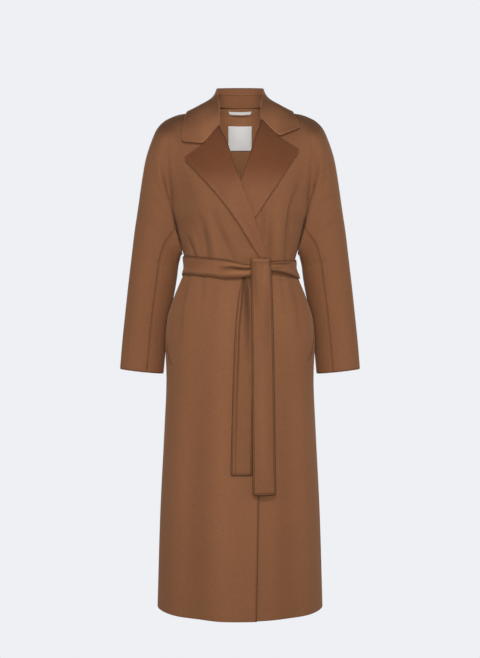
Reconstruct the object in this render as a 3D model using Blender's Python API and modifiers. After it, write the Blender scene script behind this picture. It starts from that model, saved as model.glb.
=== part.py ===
"""A long wool wrap coat, filled out and open at neck, hem and cuffs.

Metres, +Z up. The front faces -Y and +X is the wearer's left. The origin lies
at the base of the neck, midway between the shoulders. Every piece of cloth is
an open sheet laid on the body's form and then given its wall. Sheets that are
sewn together grow their walls along shared normals, so they meet in a mitre.
"""
import math
from collections import namedtuple

import bmesh
import bpy
from mathutils import Vector
from mathutils.kdtree import KDTree

# ---------------------------------------------------------------- driving sizes
CLOTH = 0.0024        # wall of the double-faced wool
BELT_CLOTH = 0.0034   # the belt is two layers, pressed flat
SEAM = 0.0004         # left open between pieces that are sewn together
CLEAR = 0.0008        # left open between layers that lie on each other
WELD = 0.00002        # points of one sheet this close are one point
RIGHT, LEFT = -1, 1   # the wearer's sides, as the sign of x

# One row for each level of the body: half-width, depth in front of and behind
# the side seam, and how far back the side seam lies.
Ring = namedtuple("Ring", "level side front back mid")
BODY = [
    Ring(-1.178, 0.1960, 0.167, 0.163, 0.000),
    Ring(-0.960, 0.1895, 0.160, 0.157, 0.000),
    Ring(-0.750, 0.1790, 0.151, 0.150, -0.002),
    Ring(-0.640, 0.1745, 0.144, 0.144, -0.006),
    Ring(-0.550, 0.1770, 0.136, 0.140, -0.010),
    Ring(-0.500, 0.1720, 0.130, 0.135, -0.010),
    Ring(-0.450, 0.1570, 0.120, 0.124, -0.008),
    Ring(-0.410, 0.1410, 0.110, 0.110, -0.004),
    Ring(-0.376, 0.1290, 0.104, 0.098, 0.000),
    Ring(-0.345, 0.1340, 0.110, 0.101, 0.000),
    Ring(-0.290, 0.1510, 0.123, 0.108, 0.000),
    Ring(-0.240, 0.1650, 0.129, 0.112, 0.000),
]
HEM, BUST = BODY[0].level, BODY[-1].level
RISE = 0.25           # length of cloth from the bust up to the shoulder line
TOP = BUST + RISE     # level of the shoulder line
TOP_SIDE = 0.186      # half-width that the form reaches at the shoulder line
FRONT_ROUND = 0.85    # how squarely the chest turns into the shoulder
BACK_ROUND = 0.55     # the same over the shoulder blades

# The line where front and back meet on the shoulder, from the neck outwards.
Ridge = namedtuple("Ridge", "x z y")
SHOULDER = [
    Ridge(0.000, 0.040, 0.012),
    Ridge(0.050, 0.024, 0.008),
    Ridge(0.070, 0.011, 0.006),
    Ridge(0.100, 0.001, 0.004),
    Ridge(0.143, -0.012, 0.002),
    Ridge(0.169, -0.023, 0.000),
    Ridge(0.186, -0.032, 0.000),
]
NECK_POINT = 0.070    # x where the shoulder seam starts
SHOULDER_POINT = 0.160
BACK_NECK = 0.0135    # height of the neck seam at centre back
ARMPIT = -0.290

# Where the sleeve leaves the body, from the armpit up, on front and back.
Armhole = namedtuple("Armhole", "z x")
ARMHOLE = [
    Armhole(-0.290, 0.1510),
    Armhole(-0.221, 0.1590),
    Armhole(-0.1215, 0.1695),
    Armhole(-0.060, 0.1690),
    Armhole(-0.0195, 0.1600),
]

# One row for each ring of the sleeve: its over-arm and under-arm points, its
# middle and its half-depths.
SleeveRing = namedtuple("SleeveRing", "along over_x over_z under_x under_z mid front back")
SLEEVE = [
    SleeveRing(0.00, 0.1600, -0.0195, 0.1512, -0.2895, 0.000, 0.046, 0.052),
    SleeveRing(0.05, 0.1780, -0.0280, 0.1550, -0.2870, 0.002, 0.050, 0.056),
    SleeveRing(0.12, 0.1970, -0.0460, 0.1525, -0.2960, 0.005, 0.055, 0.060),
    SleeveRing(0.20, 0.2110, -0.0750, 0.1466, -0.3120, 0.008, 0.059, 0.062),
    SleeveRing(0.30, 0.2235, -0.1180, 0.1410, -0.3300, 0.012, 0.061, 0.063),
    SleeveRing(0.40, 0.2330, -0.1750, 0.1430, -0.3500, 0.017, 0.061, 0.062),
    SleeveRing(0.50, 0.2410, -0.2320, 0.1475, -0.3720, 0.022, 0.060, 0.060),
    SleeveRing(0.58, 0.2500, -0.2930, 0.1505, -0.3960, 0.026, 0.058, 0.058),
    SleeveRing(0.66, 0.2565, -0.3450, 0.1540, -0.4180, 0.029, 0.057, 0.056),
    SleeveRing(0.74, 0.2640, -0.4070, 0.1600, -0.4500, 0.031, 0.055, 0.055),
    SleeveRing(0.84, 0.2735, -0.4900, 0.1710, -0.5120, 0.031, 0.053, 0.053),
    SleeveRing(0.92, 0.2800, -0.5550, 0.1780, -0.5700, 0.029, 0.051, 0.051),
    SleeveRing(1.00, 0.2855, -0.6190, 0.1835, -0.6305, 0.026, 0.050, 0.050),
]
# How far round the sleeve, from the over-arm seam, the under-sleeve seam runs.
SeamTurn = namedtuple("SeamTurn", "along degrees")
SLEEVE_SEAM = [
    SeamTurn(0.00, 144.0),
    SeamTurn(0.15, 122.0),
    SeamTurn(0.35, 103.0),
    SeamTurn(0.60, 99.0),
    SeamTurn(1.00, 107.0),
]
FREE_OF_ARMHOLE = 0.34   # along the sleeve, where the armhole's shape has faded
UNDER_START = 0.02       # along the sleeve, where its under-sleeve panel starts
UNDER_CORNER = 0.040     # share of its width that the panel's top corners stay back

# The front edge of each front, from the hem up: x counts outwards from the
# centre on its own side, so it is negative where the front has crossed over.
Edge = namedtuple("Edge", "z x")
FRONT_EDGE = {
    RIGHT: [
        Edge(-1.178, -0.0400), Edge(-0.900, -0.0445), Edge(-0.420, -0.0460),
        Edge(-0.3585, -0.0570), Edge(-0.3315, -0.0527), Edge(-0.269, -0.0320),
        Edge(-0.185, -0.0010), Edge(-0.139, 0.0160), Edge(-0.0915, 0.0320),
        Edge(-0.0594, 0.0460),
    ],
    LEFT: [
        Edge(-1.178, -0.0400), Edge(-0.900, -0.0440), Edge(-0.420, -0.0450),
        Edge(-0.3585, -0.0540), Edge(-0.325, -0.0480), Edge(-0.262, -0.0290),
        Edge(-0.185, 0.0010), Edge(-0.132, 0.0205), Edge(-0.0866, 0.0344),
        Edge(-0.0436, 0.0468),
    ],
}
# The outer edge of each lapel, from the knot up to its tip, and the corner
# where the collar meets it.
LapelEdge = namedtuple("LapelEdge", "up x z")
LAPEL_EDGE = {
    RIGHT: [LapelEdge(0.0, -0.0436, -0.3588), LapelEdge(0.42, 0.0182, -0.2582),
            LapelEdge(1.0, 0.1255, -0.1299)],
    LEFT: [LapelEdge(0.0, -0.0420, -0.3588), LapelEdge(0.38, 0.0318, -0.2692),
           LapelEdge(1.0, 0.1329, -0.1100)],
}
NOTCH = {RIGHT: (0.0828, -0.0987), LEFT: (0.0876, -0.0807)}
KNOT = -0.3585        # height where the lapels end in the belt
ROLL_SET = 0.003      # the panel stops this far short of the folded edge
ROLL_LIFT = 0.0030    # how far a lapel stands off the chest beside its fold
ROLL_FROM, ROLL_FULL = -0.175, -0.115   # heights between which it starts to do so
OVERLAP_EASE = 0.050  # the top front climbs over the lower one in this width
LIFT_SKIRT = 0.0044   # the top front lies this far out over one layer
LIFT_CHEST = 0.0072   # and over the lower front with its lapel
LIFT_FROM, LIFT_TO = -0.400, -0.365   # heights between which it changes

# Rows of the body's panels below the armpit.
LEVELS = [-1.178, -1.020, -0.860, -0.720, -0.610, -0.540, -0.490, -0.450,
          -0.416, -0.394, -0.376, -0.3585, -0.328, -0.290]
ARM_ROWS = 14         # rows from the armpit to the shoulder point
UNDER_ROWS = 3        # of these, the rows that the under-sleeve panel meets
GORGE_ROW = 10        # row where the roll line ends at the gorge seam
FRONT_COLUMNS = 8
NECK_COLUMNS = 3      # columns of the back between centre back and the neck point
SLEEVE_ROWS = 12
LAPEL_COLUMNS = 8
FOLD_COLUMNS = 2      # of these, the columns that turn round the fold

WOOL = (0.235, 0.105, 0.048, 1.0)
SATIN = (0.80, 0.77, 0.74, 1.0)
LABEL_WHITE = (0.78, 0.77, 0.75, 1.0)


# ---------------------------------------------------------------- small helpers
def mix(a, b, part):
    """From a to b, by part."""
    return a + (b - a) * part


def ease(part):
    """0 up to 1 without a corner at either end."""
    part = min(1.0, max(0.0, part))
    return part * part * (3 - 2 * part)


def read(table, value):
    """The columns of a table between two of its rows, on a smooth curve."""
    if value <= table[0][0]:
        return table[0][1:]
    if value >= table[-1][0]:
        return table[-1][1:]
    row = max(i for i in range(len(table) - 1) if table[i][0] <= value)
    step = table[row + 1][0] - table[row][0]
    part = (value - table[row][0]) / step
    return [hermite(table, column, row, step, part) for column in range(1, len(table[0]))]


def slope(table, column, row):
    """Slope of a column at a row: flat at the last row and at turning points."""
    def rise(i):
        return (table[i + 1][column] - table[i][column]) / (table[i + 1][0] - table[i][0])
    if row == 0:
        return rise(0)
    if row == len(table) - 1:
        return 0.0
    before, after = rise(row - 1), rise(row)
    return 0.0 if before * after <= 0 else 2 * before * after / (before + after)


def hermite(table, column, row, step, part):
    """Cubic between two rows of one column."""
    start, end = table[row][column], table[row + 1][column]
    leave, arrive = slope(table, column, row) * step, slope(table, column, row + 1) * step
    square, cube = part * part, part ** 3
    return ((2 * cube - 3 * square + 1) * start + (cube - 2 * square + part) * leave
            + (3 * square - 2 * cube) * end + (cube - square) * arrive)


# ---------------------------------------------------------------- the body's form
def half_width(level):
    """Half-width of the form at a level."""
    side = read(BODY, min(level, BUST))[0]
    up = max(0.0, level - BUST) / RISE
    return mix(side, TOP_SIDE, math.sin(up * math.pi / 2))


def form(turn, level):
    """A point of the coat's outer face on one layer of cloth.

    turn is 0 at centre front, 1 or -1 at the side seams and 2 or -2 at centre
    back. level is the height up to the bust, and runs on over the chest to TOP
    on the shoulder line.
    """
    _, front, back, mid = read(BODY, min(level, BUST))
    angle = turn * math.pi / 2
    forward = math.cos(angle)
    x = half_width(level) * math.sin(angle)
    y = mid - (front if forward >= 0 else back) * forward
    if level <= BUST:
        return Vector((x, y, level))
    up = (level - BUST) / RISE * math.pi / 2
    ridge_z, ridge_y = read(SHOULDER, abs(x))
    roundness = FRONT_ROUND if forward >= 0 else BACK_ROUND
    reach = max(0.0, math.cos(up)) ** roundness
    return Vector((x, mix(ridge_y, y, reach), mix(BUST, ridge_z, math.sin(up))))


def outwards(turn, level):
    """Unit normal of the form, pointing out of the coat."""
    level = min(level, TOP - 0.004)
    across = form(turn + 0.01, level) - form(turn - 0.01, level)
    upwards = form(turn, level + 0.002) - form(turn, level - 0.002)
    return across.cross(upwards).normalized()


def place(x, z, behind=False):
    """turn and level of the form's point at x and z, in front or behind."""
    low, high = HEM, TOP
    for _ in range(40):
        level = (low + high) / 2
        turn = math.asin(max(-1.0, min(1.0, x / half_width(level)))) / (math.pi / 2)
        if form(turn, level).z < z:
            low = level
        else:
            high = level
    if behind:
        turn = math.copysign(2.0, x) - turn
    return turn, level


def front_edge(side, z):
    """x of a front's edge or roll line, counted outwards on its own side."""
    return read(FRONT_EDGE[side], z)[0]


def top_front_lift(x, z):
    """How far the top front is moved out where it lies over the lower one."""
    under_edge = front_edge(LEFT, z) * LEFT
    full = mix(LIFT_SKIRT, LIFT_CHEST, ease((z - LIFT_FROM) / (LIFT_TO - LIFT_FROM)))
    return full * ease((x - under_edge) / OVERLAP_EASE + 1)


def lift_on(side, x, z):
    """How far a front's outer face lies out from the form."""
    return top_front_lift(x, z) if side == RIGHT else 0.0


def on_front(side, x, z, out):
    """A point that lies out from a front's face, x counted outwards."""
    turn, level = place(x * side, z)
    return form(turn, level) + outwards(turn, level) * (lift_on(side, x * side, z) + out)


# ---------------------------------------------------------------- sheets of cloth
def armhole(part, behind):
    """turn and level on the armhole: part 0 at the shoulder, 1 at the armpit."""
    top, bottom = ARMHOLE[-1].z, ARMHOLE[0].z
    down = 0.5 * part + 0.5 * (1 - math.cos(part * math.pi / 2))
    z = mix(top, bottom, down)
    x = read(ARMHOLE, z)[0]
    if part == 0:
        turn = math.asin(SHOULDER_POINT / TOP_SIDE) / (math.pi / 2)
        return (2 - turn if behind else turn), TOP
    return place(x, z, behind)


def sleeve_point(along, round_part, armhole_part, behind):
    """A point of a sleeve on the side of positive x.

    round_part runs from 0 at the over-arm seam to 1 at the under-arm, and
    armhole_part says which point of the armhole the column starts from.
    """
    over_x, over_z, under_x, under_z, mid, front, back = read(SLEEVE, along)
    start = SLEEVE[0]
    middle = Vector(((over_x + under_x) / 2, mid, (over_z + under_z) / 2))
    reach = Vector(((over_x - under_x) / 2, 0, (over_z - under_z) / 2))
    across = Vector((reach.z, 0, -reach.x)).normalized()
    first_middle = Vector(((start.over_x + start.under_x) / 2, start.mid,
                           (start.over_z + start.under_z) / 2))
    first_reach = Vector(((start.over_x - start.under_x) / 2, 0,
                          (start.over_z - start.under_z) / 2))
    first_across = Vector((first_reach.z, 0, -first_reach.x)).normalized()
    offset = form(*armhole(armhole_part, behind)) - first_middle

    angle = round_part * math.pi
    depth = back if behind else -front
    free = ease(along / FREE_OF_ARMHOLE)
    high = mix(offset.dot(first_reach) / first_reach.length_squared, math.cos(angle), free)
    deep = mix(offset.y, depth * math.sin(angle), free)
    proud = offset.dot(first_across) * (1 - free)
    return middle + reach * high + Vector((0, deep, 0)) + across * proud


def laid_grid(bm, columns, rows, lay):
    """A grid whose points are put where lay(across, up) says, both 0 to 1."""
    grid = bmesh.ops.create_grid(bm, x_segments=columns, y_segments=rows, size=0.5)
    for vert in grid["verts"]:
        vert.co = lay(vert.co.x + 0.5, vert.co.y + 0.5)


def row_at(up):
    """Level of a body row below the armpit, and the part of the way above it."""
    row = round(up * (len(LEVELS) - 1 + ARM_ROWS), 4)
    below = len(LEVELS) - 1
    if row >= below:
        return ARMPIT, (row - below) / ARM_ROWS
    whole = int(row)
    return mix(LEVELS[whole], LEVELS[min(whole + 1, below)], row - whole), 0.0


def front_panel(side):
    """Where the body part of a front lies: across 0 at the side, 1 at the edge."""
    gorge = FRONT_EDGE[side][-1]

    def inner_end(level, part):
        """turn and level on the front edge, roll line or neckline."""
        gorge_part = GORGE_ROW / ARM_ROWS
        if part <= gorge_part:
            z = mix(level, gorge.z, part / gorge_part)
            return place((front_edge(side, z) + ROLL_SET) * side, z)
        start = place((gorge.x + ROLL_SET) * side, gorge.z)
        neck_turn = math.asin(NECK_POINT / TOP_SIDE) / (math.pi / 2) * side
        share = (part - gorge_part) / (1 - gorge_part)
        return mix(start[0], neck_turn, share), mix(start[1], TOP, share)

    def lay(across, up):
        level, part = row_at(up)
        outer = (1.0, level) if part == 0 else armhole(1 - part, False)
        inner = inner_end(level, part)
        turn = mix(outer[0] * side, inner[0], across)
        height = mix(outer[1], inner[1], across)
        point = form(turn, height)
        return point + outwards(turn, height) * lift_on(side, point.x, point.z)
    return lay


def front_sleeve(side):
    """Where the front half of the upper sleeve lies."""
    upper_rows = ARM_ROWS - UNDER_ROWS

    def lay(across, down):
        seam = read(SLEEVE_SEAM, down)[0] / 180
        armhole_part = across * upper_rows / ARM_ROWS
        point = sleeve_point(down, across * seam, armhole_part, False)
        return Vector((point.x * side, point.y, point.z))
    return lay


def roll_height(side, up):
    """Height on the roll line, from the knot to the gorge, row by row."""
    first_row = LEVELS.index(KNOT)
    rows_below = len(LEVELS) - 1 - first_row
    row = round(up * (rows_below + GORGE_ROW), 4)
    if row <= rows_below:
        whole = min(int(row), rows_below - 1)
        return mix(LEVELS[first_row + whole], LEVELS[first_row + whole + 1], row - whole)
    return mix(ARMPIT, FRONT_EDGE[side][-1].z, (row - rows_below) / GORGE_ROW)


def lapel_across(side, part, up, out):
    """A point on a lapel: part 0 beside the fold and 1 on the outer edge."""
    gorge, tip, notch = FRONT_EDGE[side][-1], LAPEL_EDGE[side][-1], NOTCH[side]
    roll_z = roll_height(side, up)
    roll_x = front_edge(side, roll_z) + ROLL_SET
    edge_x, edge_z = read(LAPEL_EDGE[side], up)
    bend = (1 - abs(2 * part - 1)) * up ** 8
    x = mix(roll_x, edge_x, part) + bend * (notch[0] - mix(gorge.x + ROLL_SET, tip.x, 0.5))
    z = mix(roll_z, edge_z, part) + bend * (notch[1] - mix(gorge.z, tip.z, 0.5))
    lift = ROLL_LIFT * ease((roll_z - ROLL_FROM) / (ROLL_FULL - ROLL_FROM))
    return on_front(side, x, z, CLEAR + lift * (1 - part) ** 2 + out)


def lapel(side):
    """Where a lapel lies: across 0 at its fold, up 0 at the knot."""
    fold_share = FOLD_COLUMNS / LAPEL_COLUMNS

    def lay(across, up):
        if across > fold_share:
            return lapel_across(side, (across - fold_share) / (1 - fold_share), up, 0.0)
        panel = lapel_across(side, 0.0, up, 0.0)
        roll_z = roll_height(side, up)
        start = on_front(side, front_edge(side, roll_z) + ROLL_SET, roll_z, 0.0)
        angle = across / fold_share * math.pi
        nose = Vector((-side, 0, 0)) * (panel - start).length / 2 * math.sin(angle)
        return start.lerp(panel, (1 - math.cos(angle)) / 2) + nose
    return lay


def back_half():
    """Where the body part of the back lies: across 0 at centre back, 1 at the side."""
    neck_turn = math.asin(NECK_POINT / TOP_SIDE) / (math.pi / 2)
    neck_column = NECK_COLUMNS / (NECK_COLUMNS + FRONT_COLUMNS)

    def top_end(across):
        """Distance from centre back and level along neckline and shoulder."""
        shoulder_turn = 2 - armhole(0, True)[0]
        if across >= neck_column:
            share = (across - neck_column) / (1 - neck_column)
            return mix(neck_turn, shoulder_turn, share), TOP
        turn = neck_turn * across / neck_column
        x = TOP_SIDE * math.sin(turn * math.pi / 2)
        z = mix(BACK_NECK, SHOULDER[2].z, (x / NECK_POINT) ** 2)
        return turn, min(TOP, place(x, z, True)[1])

    def lay(across, up):
        level, part = row_at(up)
        outer = (1.0, level) if part == 0 else armhole(1 - part, True)
        top_turn, top_level = top_end(across)
        straight_turn = mix(0.0, top_end(1)[0], across)
        turn = mix(2.0, outer[0], across) - (top_turn - straight_turn) * ease(part)
        centre_level = mix(ARMPIT, top_end(0)[1], part) if part > 0 else level
        height = mix(centre_level, outer[1], across)
        if part > 0:
            straight_top = mix(top_end(0)[1], TOP, across)
            height += (top_level - straight_top) * part ** 3
        return form(turn, height)
    return lay


def back_sleeve():
    """Where the back half of the upper sleeve lies, on positive x."""
    upper_rows = ARM_ROWS - UNDER_ROWS

    def lay(across, down):
        seam = read(SLEEVE_SEAM, down)[0] / 180
        armhole_part = across * upper_rows / ARM_ROWS
        return sleeve_point(down, across * seam, armhole_part, True)
    return lay


def under_sleeve(side):
    """Where an under-sleeve panel lies, from its front seam round to its back."""
    corner = (ARM_ROWS - UNDER_ROWS) / ARM_ROWS

    def lay(across, down):
        if down < UNDER_START:
            down, across = UNDER_START, mix(UNDER_CORNER, 1 - UNDER_CORNER, across)
        behind = across > 0.5
        part = 1 - abs(2 * across - 1)
        seam = read(SLEEVE_SEAM, down)[0] / 180
        armhole_part = mix(corner, 1.0, part)
        point = sleeve_point(down, mix(seam, 1.0, part), armhole_part, behind)
        return Vector((point.x * side, point.y, point.z))
    return lay


# ---------------------------------------------------------------- collar
# One row for each station round the neck. seam lies on the neck seam, stand on
# the seam between stand and fall, roll on the fold and mid on the fall. The
# edge is given by x and z and lies on the body, in front of or behind the
# shoulder line. x counts outwards.
Station = namedtuple("Station", "seam stand roll mid edge_x edge_z behind")
COLLAR = [
    Station((0.000, 0.0720, 0.0150), (0.000, 0.0745, 0.0470), (0.000, 0.0830, 0.0680),
            (0.000, 0.0945, 0.0250), 0.000, -0.030, True),
    Station((0.040, 0.0625, 0.0150), (0.038, 0.0660, 0.0460), (0.042, 0.0740, 0.0670),
            (0.056, 0.0830, 0.0270), 0.066, -0.024, True),
    Station((0.061, 0.0350, 0.0150), (0.053, 0.0380, 0.0410), (0.056, 0.0400, 0.0610),
            (0.076, 0.0500, 0.0270), 0.104, -0.014, True),
    Station((0.066, 0.0040, 0.0140), (0.052, 0.0020, 0.0290), (0.055, 0.0000, 0.0450),
            (0.079, 0.0060, 0.0210), 0.1225, -0.0055, False),
    Station((0.057, -0.0430, -0.0050), (0.0475, -0.0450, 0.0000), (0.0510, -0.0560, 0.0070),
            (0.084, -0.0440, 0.0035), 0.1275, -0.0220, False),
]
# The leaf: its roll, and x and z of the fall's middle and edge. The section
# after it is the gorge line, which follows the lapel up to the notch.
Leaf = namedtuple("Leaf", "roll mid edge tip")
LEAF = {
    RIGHT: Leaf((0.0490, -0.0870, -0.0290), (0.088, -0.046), (0.1300, -0.0550),
                (0.1340, -0.0896)),
    LEFT: Leaf((0.0495, -0.0810, -0.0210), (0.090, -0.032), (0.1320, -0.0360),
               (0.1377, -0.0560)),
}
LEAF_OUT = 0.0054       # the leaf's outer face lies this far off the chest
GORGE_GAP = Vector((0.0010, 0, 0.0013))   # from the lapel's top to the fall's end
SHOULDER_OUT = 0.0058   # the fall's outer face lies this far off the shoulder
TUCK = Vector((-0.003, 0.006, -0.001))   # the fall's inner edge beside the leaf
INNER_ROWS, FALL_ROWS = 2, 6
STAND_ROWS = 2
COLLAR_COLUMNS = 24


def outward(side, point):
    """A point with its x counted outwards on its side, or back again."""
    return Vector((point[0] * side, point[1], point[2]))


def fall_points(side, number):
    """The inner edge, roll, mid and outer edge of one station, x outwards."""
    if number < len(COLLAR):
        row = COLLAR[number]
        turn, level = place(row.edge_x, row.edge_z, row.behind)
        edge = form(turn, level) + outwards(turn, level) * SHOULDER_OUT
        return [Vector(row.stand), Vector(row.roll), Vector(row.mid), edge]
    leaf = LEAF[side]
    roll = Vector(leaf.roll)
    mid, edge = (outward(side, on_front(side, *place_xz, LEAF_OUT))
                 for place_xz in (leaf.mid, leaf.edge))
    return [roll + TUCK, roll, mid, edge]


def fall_section(side, number, part):
    """From the inner edge over the roll and down the fall to its edge."""
    inner_share = INNER_ROWS / (INNER_ROWS + FALL_ROWS)
    share = (part - inner_share) / (1 - inner_share)
    if number > len(COLLAR):
        return gorge_section(side, share, part / inner_share)
    inner, roll, mid, edge = fall_points(side, number)
    if share <= 0:
        return inner.lerp(roll, part / inner_share)
    pull = mid * 2 - (roll + edge) / 2
    return roll * (1 - share) ** 2 + pull * (2 * share * (1 - share)) + edge * share ** 2


def gorge_section(side, share, inner_part):
    """The fall's end: along the top of the lapel, then out to the leaf's tip."""
    if share > 0.5:
        x, z = (mix(start, end, 2 * share - 1)
                for start, end in zip(NOTCH[side], LEAF[side].tip))
        return outward(side, on_front(side, x, z, LEAF_OUT))
    along = outward(side, lapel_across(side, max(0.0, share), 1.0, CLOTH)) + GORGE_GAP
    along.x -= ROLL_SET * (1 - 2 * max(0.0, share))
    return (along + TUCK).lerp(along, inner_part) if share <= 0 else along


def fall_point(around, down):
    """A point of the fall, round the neck from the right leaf to the left."""
    last = len(COLLAR) + 1
    side = RIGHT if around < 0.5 else LEFT
    rows = [(float(number), *fall_section(side, number, down)) for number in range(last + 1)]
    mirrored = [(-row[0], -row[1], *row[2:]) for row in (rows[2], rows[1])]
    beyond = [2 * a - b for a, b in zip(rows[-1], rows[-2])]
    point = read(mirrored + rows + [beyond], abs(2 * around - 1) * last)
    return outward(side, point)


def stand_point(around, up):
    """A point of the stand, from the neck seam up to the fall's inner edge."""
    last = len(COLLAR) - 1
    side = RIGHT if around < 0.5 else LEFT
    number = abs(2 * around - 1) * last
    rows = [(float(i), *row.seam) for i, row in enumerate(COLLAR)]
    mirrored = [(-row[0], -row[1], *row[2:]) for row in (rows[2], rows[1])]
    seam = read(mirrored + rows, number)
    in_fall = 0.5 + (around - 0.5) * last / (len(COLLAR) + 1)
    return Vector((seam[0] * side, seam[1], seam[2])).lerp(fall_point(in_fall, 0.0), up)


# ---------------------------------------------------------------- belt
# The band's edges from the knot round: how far it has gone, as turn.
Band = namedtuple("Band", "turn top bottom")
BAND = [
    Band(-4.00, -0.3520, -0.4020), Band(-1.30, -0.3520, -0.4020), Band(-0.90, -0.3510, -0.3960),
    Band(-0.36, -0.3580, -0.4030), Band(-0.12, -0.3640, -0.4085), Band(0.10, -0.3790, -0.4060),
    Band(0.22, -0.3750, -0.4020), Band(0.37, -0.3670, -0.3960), Band(0.60, -0.3640, -0.4010),
    Band(0.90, -0.3615, -0.4070), Band(1.30, -0.3540, -0.4030), Band(4.00, -0.3520, -0.4020),
]
# The tails hang from the knot: one row for each height, with the edges and how
# far their outer face stands off the top front.
Tail = namedtuple("Tail", "z left right out")
TAIL_FRONT = [
    Tail(-0.8980, 0.0285, 0.0815, 0.0105), Tail(-0.700, 0.0270, 0.0790, 0.0105),
    Tail(-0.520, 0.0258, 0.0760, 0.0110), Tail(-0.430, 0.0250, 0.0740, 0.0140),
    Tail(-0.395, 0.0245, 0.0730, 0.0165), Tail(-0.366, 0.0240, 0.0722, 0.0165),
]
TAIL_REAR = [
    Tail(-0.8530, -0.0215, 0.0277, 0.0052), Tail(-0.700, -0.0178, 0.0310, 0.0052),
    Tail(-0.526, -0.0110, 0.0375, 0.0052), Tail(-0.456, -0.0040, 0.0330, 0.0056),
    Tail(-0.4080, 0.0045, 0.0205, 0.0050), Tail(-0.385, 0.0060, 0.0195, 0.0046),
]
BELT_OUT = 2 * CLEAR + BELT_CLOTH
BAND_START = 0.15      # turn where the band's ends meet, behind the front tail
BAND_ROUND = 0.0005    # how far the band's middle stands out from its edges
TAIL_MIDDLE, TAIL_REACH = 0.040, 0.090   # the band rises over the tails about this x
STEP_WIDTH = 0.050     # the band sinks back beside the top front's edge in this width
STEP_START = 0.006
RISE_WIDTH = 0.035
FRONT_SHARE, TURN_SHARE = 0.72, 0.86     # of the front tail: outer face, then the turn
TAIL_CREST = 0.0065    # height of the turn over the band's top edge
BEHIND_OUT, BEHIND_END = 0.0016, -0.392  # the part tucked behind the band


def over_fronts(x, z):
    """How far the fronts' layers hold up what goes round them."""
    edge = -front_edge(RIGHT, z)
    if x <= edge:
        return top_front_lift(x, z)
    return top_front_lift(edge, z) * ease(1 - (x - edge - STEP_START) / STEP_WIDTH)


def belt_band():
    """Where the stretch round the waist lies, once round from the knot."""
    def lay(around, up):
        turn = BAND_START + around * 4
        across = turn if turn <= 2 else turn - 4
        top, bottom = read(BAND, across)
        z = mix(bottom, top, up)
        point = form(across, z)
        out = BELT_OUT + BAND_ROUND * math.sin(up * math.pi)
        if abs(across) < 1:
            over_tail = ease((TAIL_REACH - abs(point.x - TAIL_MIDDLE)) / RISE_WIDTH)
            out += over_fronts(point.x, z) + over_tail * (BELT_CLOTH + 2 * CLEAR)
        return point + outwards(across, z) * out
    return lay


def on_top_front(x, z, out):
    """A point that stands out from the top front and the band's support."""
    turn, level = place(x, z)
    return form(turn, level) + outwards(turn, level) * (over_fronts(x, z) + out)


def hanging_tail(rows):
    """Where a tail lies: across its width and up from its end."""
    def lay(across, up):
        z = mix(rows[0].z, rows[-1].z, up)
        left, right, out = read(rows, z)
        x = mix(left, right, across)
        return on_top_front(x, z, out)
    return lay


def tail_over_band():
    """The front tail: up its outer face, over the band and down behind it."""
    hang = hanging_tail(TAIL_FRONT)
    last = TAIL_FRONT[-1]

    def lay(across, up):
        if up <= FRONT_SHARE:
            return hang(across, up / FRONT_SHARE)
        x = mix(last.left, last.right, across)
        if up <= TURN_SHARE:
            angle = (up - FRONT_SHARE) / (TURN_SHARE - FRONT_SHARE) * math.pi
            out = mix(last.out, BEHIND_OUT, (1 - math.cos(angle)) / 2)
            return on_top_front(x, last.z + TAIL_CREST * math.sin(angle), out)
        z = mix(last.z, BEHIND_END, (up - TURN_SHARE) / (1 - TURN_SHARE))
        return on_top_front(x, z, BEHIND_OUT)
    return lay


# ---------------------------------------------------------------- label and loop
LABEL_HALF, LABEL_TOP, LABEL_BOTTOM = 0.0295, -0.0260, -0.0870
LOOP_HALF, LOOP_TOP, LOOP_DEPTH = 0.0290, 0.0085, 0.0095
LOOP_BOTTOM_SHARE = 0.90   # of its top width: the loop's ends are slanted
TRIM_OUT = 0.0014          # from the back's inner face to the trim's outer face
TRIM_CLOTH = 0.0008        # wall of the label and of the loop's ribbon
LOOP_STANDS = 0.0022       # how far the loop's middle stands off beyond its ends
CENTRE = 0.000001          # x that still has a side


def inside_back(x, z, inwards):
    """A point that lies inside the back, clear of its inner face."""
    turn, level = place(x if abs(x) > CENTRE else CENTRE, z, True)
    return form(turn, level) - outwards(turn, level) * (CLOTH + inwards)


def label():
    """The bare label on the inside of the back."""
    def lay(across, up):
        x = mix(LABEL_HALF, -LABEL_HALF, across)
        return inside_back(x, mix(LABEL_BOTTOM, LABEL_TOP, up), TRIM_OUT)
    return lay


def hanger_loop():
    """A flat ribbon that stands off the neck seam between its slanted ends."""
    def lay(across, up):
        x = mix(LOOP_HALF, -LOOP_HALF, across) * mix(LOOP_BOTTOM_SHARE, 1.0, up)
        stand_off = TRIM_OUT + LOOP_STANDS * math.sin(across * math.pi)
        return inside_back(x, mix(LOOP_TOP - LOOP_DEPTH, LOOP_TOP, up), stand_off)
    return lay


# ---------------------------------------------------------------- building
def material(name, colour, roughness):
    """A plain finish."""
    finish = bpy.data.materials.new(name)
    finish.use_nodes = True
    shader = finish.node_tree.nodes["Principled BSDF"]
    shader.inputs["Base Color"].default_value = colour
    shader.inputs["Roughness"].default_value = roughness
    return finish


def shared_normals(sheets):
    """A tree of places on the sewn sheets, and the normal at each place."""
    sewn = bmesh.new()
    for sheet in sheets:
        mesh = bpy.data.meshes.new("sheet")
        sheet.to_mesh(mesh)
        sewn.from_mesh(mesh)
        bpy.data.meshes.remove(mesh)
    bmesh.ops.remove_doubles(sewn, verts=sewn.verts, dist=WELD)
    sewn.normal_update()
    tree = KDTree(len(sewn.verts))
    for number, vert in enumerate(sewn.verts):
        tree.insert(vert.co, number)
    tree.balance()
    normals = [vert.normal.copy() for vert in sewn.verts]
    sewn.free()
    return tree, normals


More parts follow.
